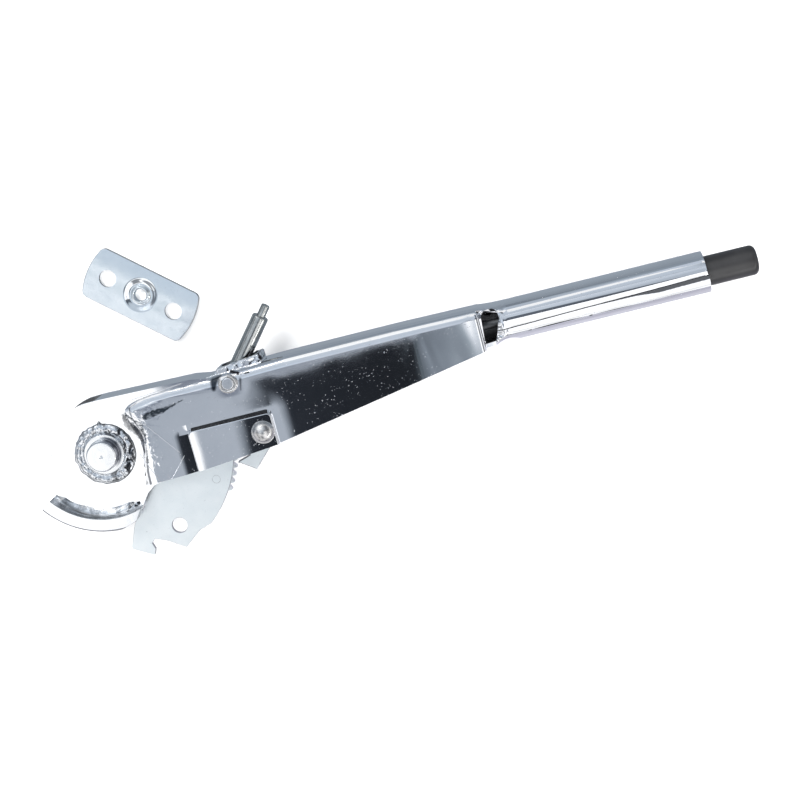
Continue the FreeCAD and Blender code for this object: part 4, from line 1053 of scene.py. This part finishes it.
def make_ring():
    """Round wall of cards, light towards the viewer's side and darker behind."""
    mat, g, emit = new_shader("ring", "ShaderNodeEmission")
    x, y, z = g.place()
    dark = (0.03, 0.033, 0.04, 1.0)
    north = g.ramp(g.madd(y, 0.3, 0.5), [(0.45, 0.0), (0.60, 1.0)])
    tall = g.ramp(z, [(0.0, (0.20, 0.23, 0.27)), (0.30, (0.30, 0.35, 0.41)), (0.7, (0.55, 0.61, 0.70))])
    bright = g.ramp(z, [(0.0, (0.50, 0.50, 0.58)), (0.25, (0.85, 0.85, 0.92)), (0.5, 1.2)])
    color = g.mix(north, bright, tall)
    patches = g.ramp(g.noise(g.coords(), 1.15, 2.0, 0.5), [(0.50, 0.0), (0.53, 1.0)])
    patches = g.times(patches, g.ramp(z, [(0.40, 1.0), (0.55, 0.0)]))
    patches = g.times(patches, g.minus(1.0, g.times(north, 0.7)))
    color = g.mix(patches, color, dark)
    low = g.ramp(z, [(0.055, 1.0), (0.085, 0.0)])
    east = g.ramp(g.plus(x, 0.5), [(0.55, 0.0), (0.68, 1.0)])
    south_low = g.mix(east, dark, (0.62, 0.62, 0.70, 1.0))
    color = g.mix(low, color, g.mix(north, south_low, (0.20, 0.23, 0.27, 1.0)))
    g.link(color, emit.inputs["Color"])
    ring = []
    faces = []
    n = 48
    for i in range(n):
        a = 2 * math.pi * i / n
        for z in (0.0, 0.74):
            ring.append((0.2 + 1.7 * math.cos(a), 1.7 * math.sin(a), z))
        j = (i + 1) % n
        faces.append((2 * i, 2 * i + 1, 2 * j + 1, 2 * j))
    card("card_ring", ring, faces, mat)


def make_table():
    """Grey card on the floor, which only reflections show."""
    mat, g, emit = new_shader("table", "ShaderNodeEmission")
    x, y, z = g.place()
    side = g.ramp(g.madd(y, 1.6, 0.5), [(0.25, (0.56, 0.55, 0.64)), (0.47, (0.74, 0.73, 0.82)),
                                        (0.55, (0.34, 0.39, 0.45)), (0.9, (0.28, 0.32, 0.37))])
    cloud = g.ramp(g.noise(g.coords(), 5.0, 3.0, 0.5), [(0.3, 0.82), (0.7, 1.0)])
    g.link(g.mix(1.0, side, cloud, "MULTIPLY"), emit.inputs["Color"])
    level_card("card_table", -1.5, -1.7, 1.9, 1.7, -0.0002, mat)


def make_light(name, loc, aim, size, size_y, power):
    lamp = bpy.data.lights.new(name, "AREA")
    lamp.shape = "RECTANGLE"
    lamp.size = size
    lamp.size_y = size_y
    lamp.energy = power
    obj = new_object(name, lamp)
    obj.location = loc
    obj.rotation_euler = (Vector(aim) - Vector(loc)).to_track_quat("-Z", "Y").to_euler()


def make_camera():
    eye = Vector((0.28793, 0.16126, CARD_Z))
    aim = Vector((0.19194, -0.01086, 0.035))
    turn = math.radians(14.45)
    up = Vector((math.sin(turn), math.cos(turn), 0.0))
    back = (eye - aim).normalized()
    right = up.cross(back).normalized()
    top = back.cross(right)
    cam = bpy.data.cameras.new("camera")
    cam.sensor_width = 36.0
    cam.lens = 66.335
    cam.clip_start = 0.01
    obj = new_object("camera", cam)
    obj.matrix_world = Matrix((
        (right.x, top.x, back.x, eye.x),
        (right.y, top.y, back.y, eye.y),
        (right.z, top.z, back.z, eye.z),
        (0, 0, 0, 1)))
    bpy.context.scene.camera = obj


make_floor()
make_world()
make_overhead()
make_ring()
make_table()
make_light("key", (-0.5, 1.1, 1.3), (0.15, 0.0, 0.0), 1.2, 0.8, 34.0)
make_light("fill", (0.9, -0.9, 1.2), (0.2, 0.0, 0.0), 1.0, 1.0, 24.0)
make_camera()
bpy.context.scene.view_settings.view_transform = "Standard"
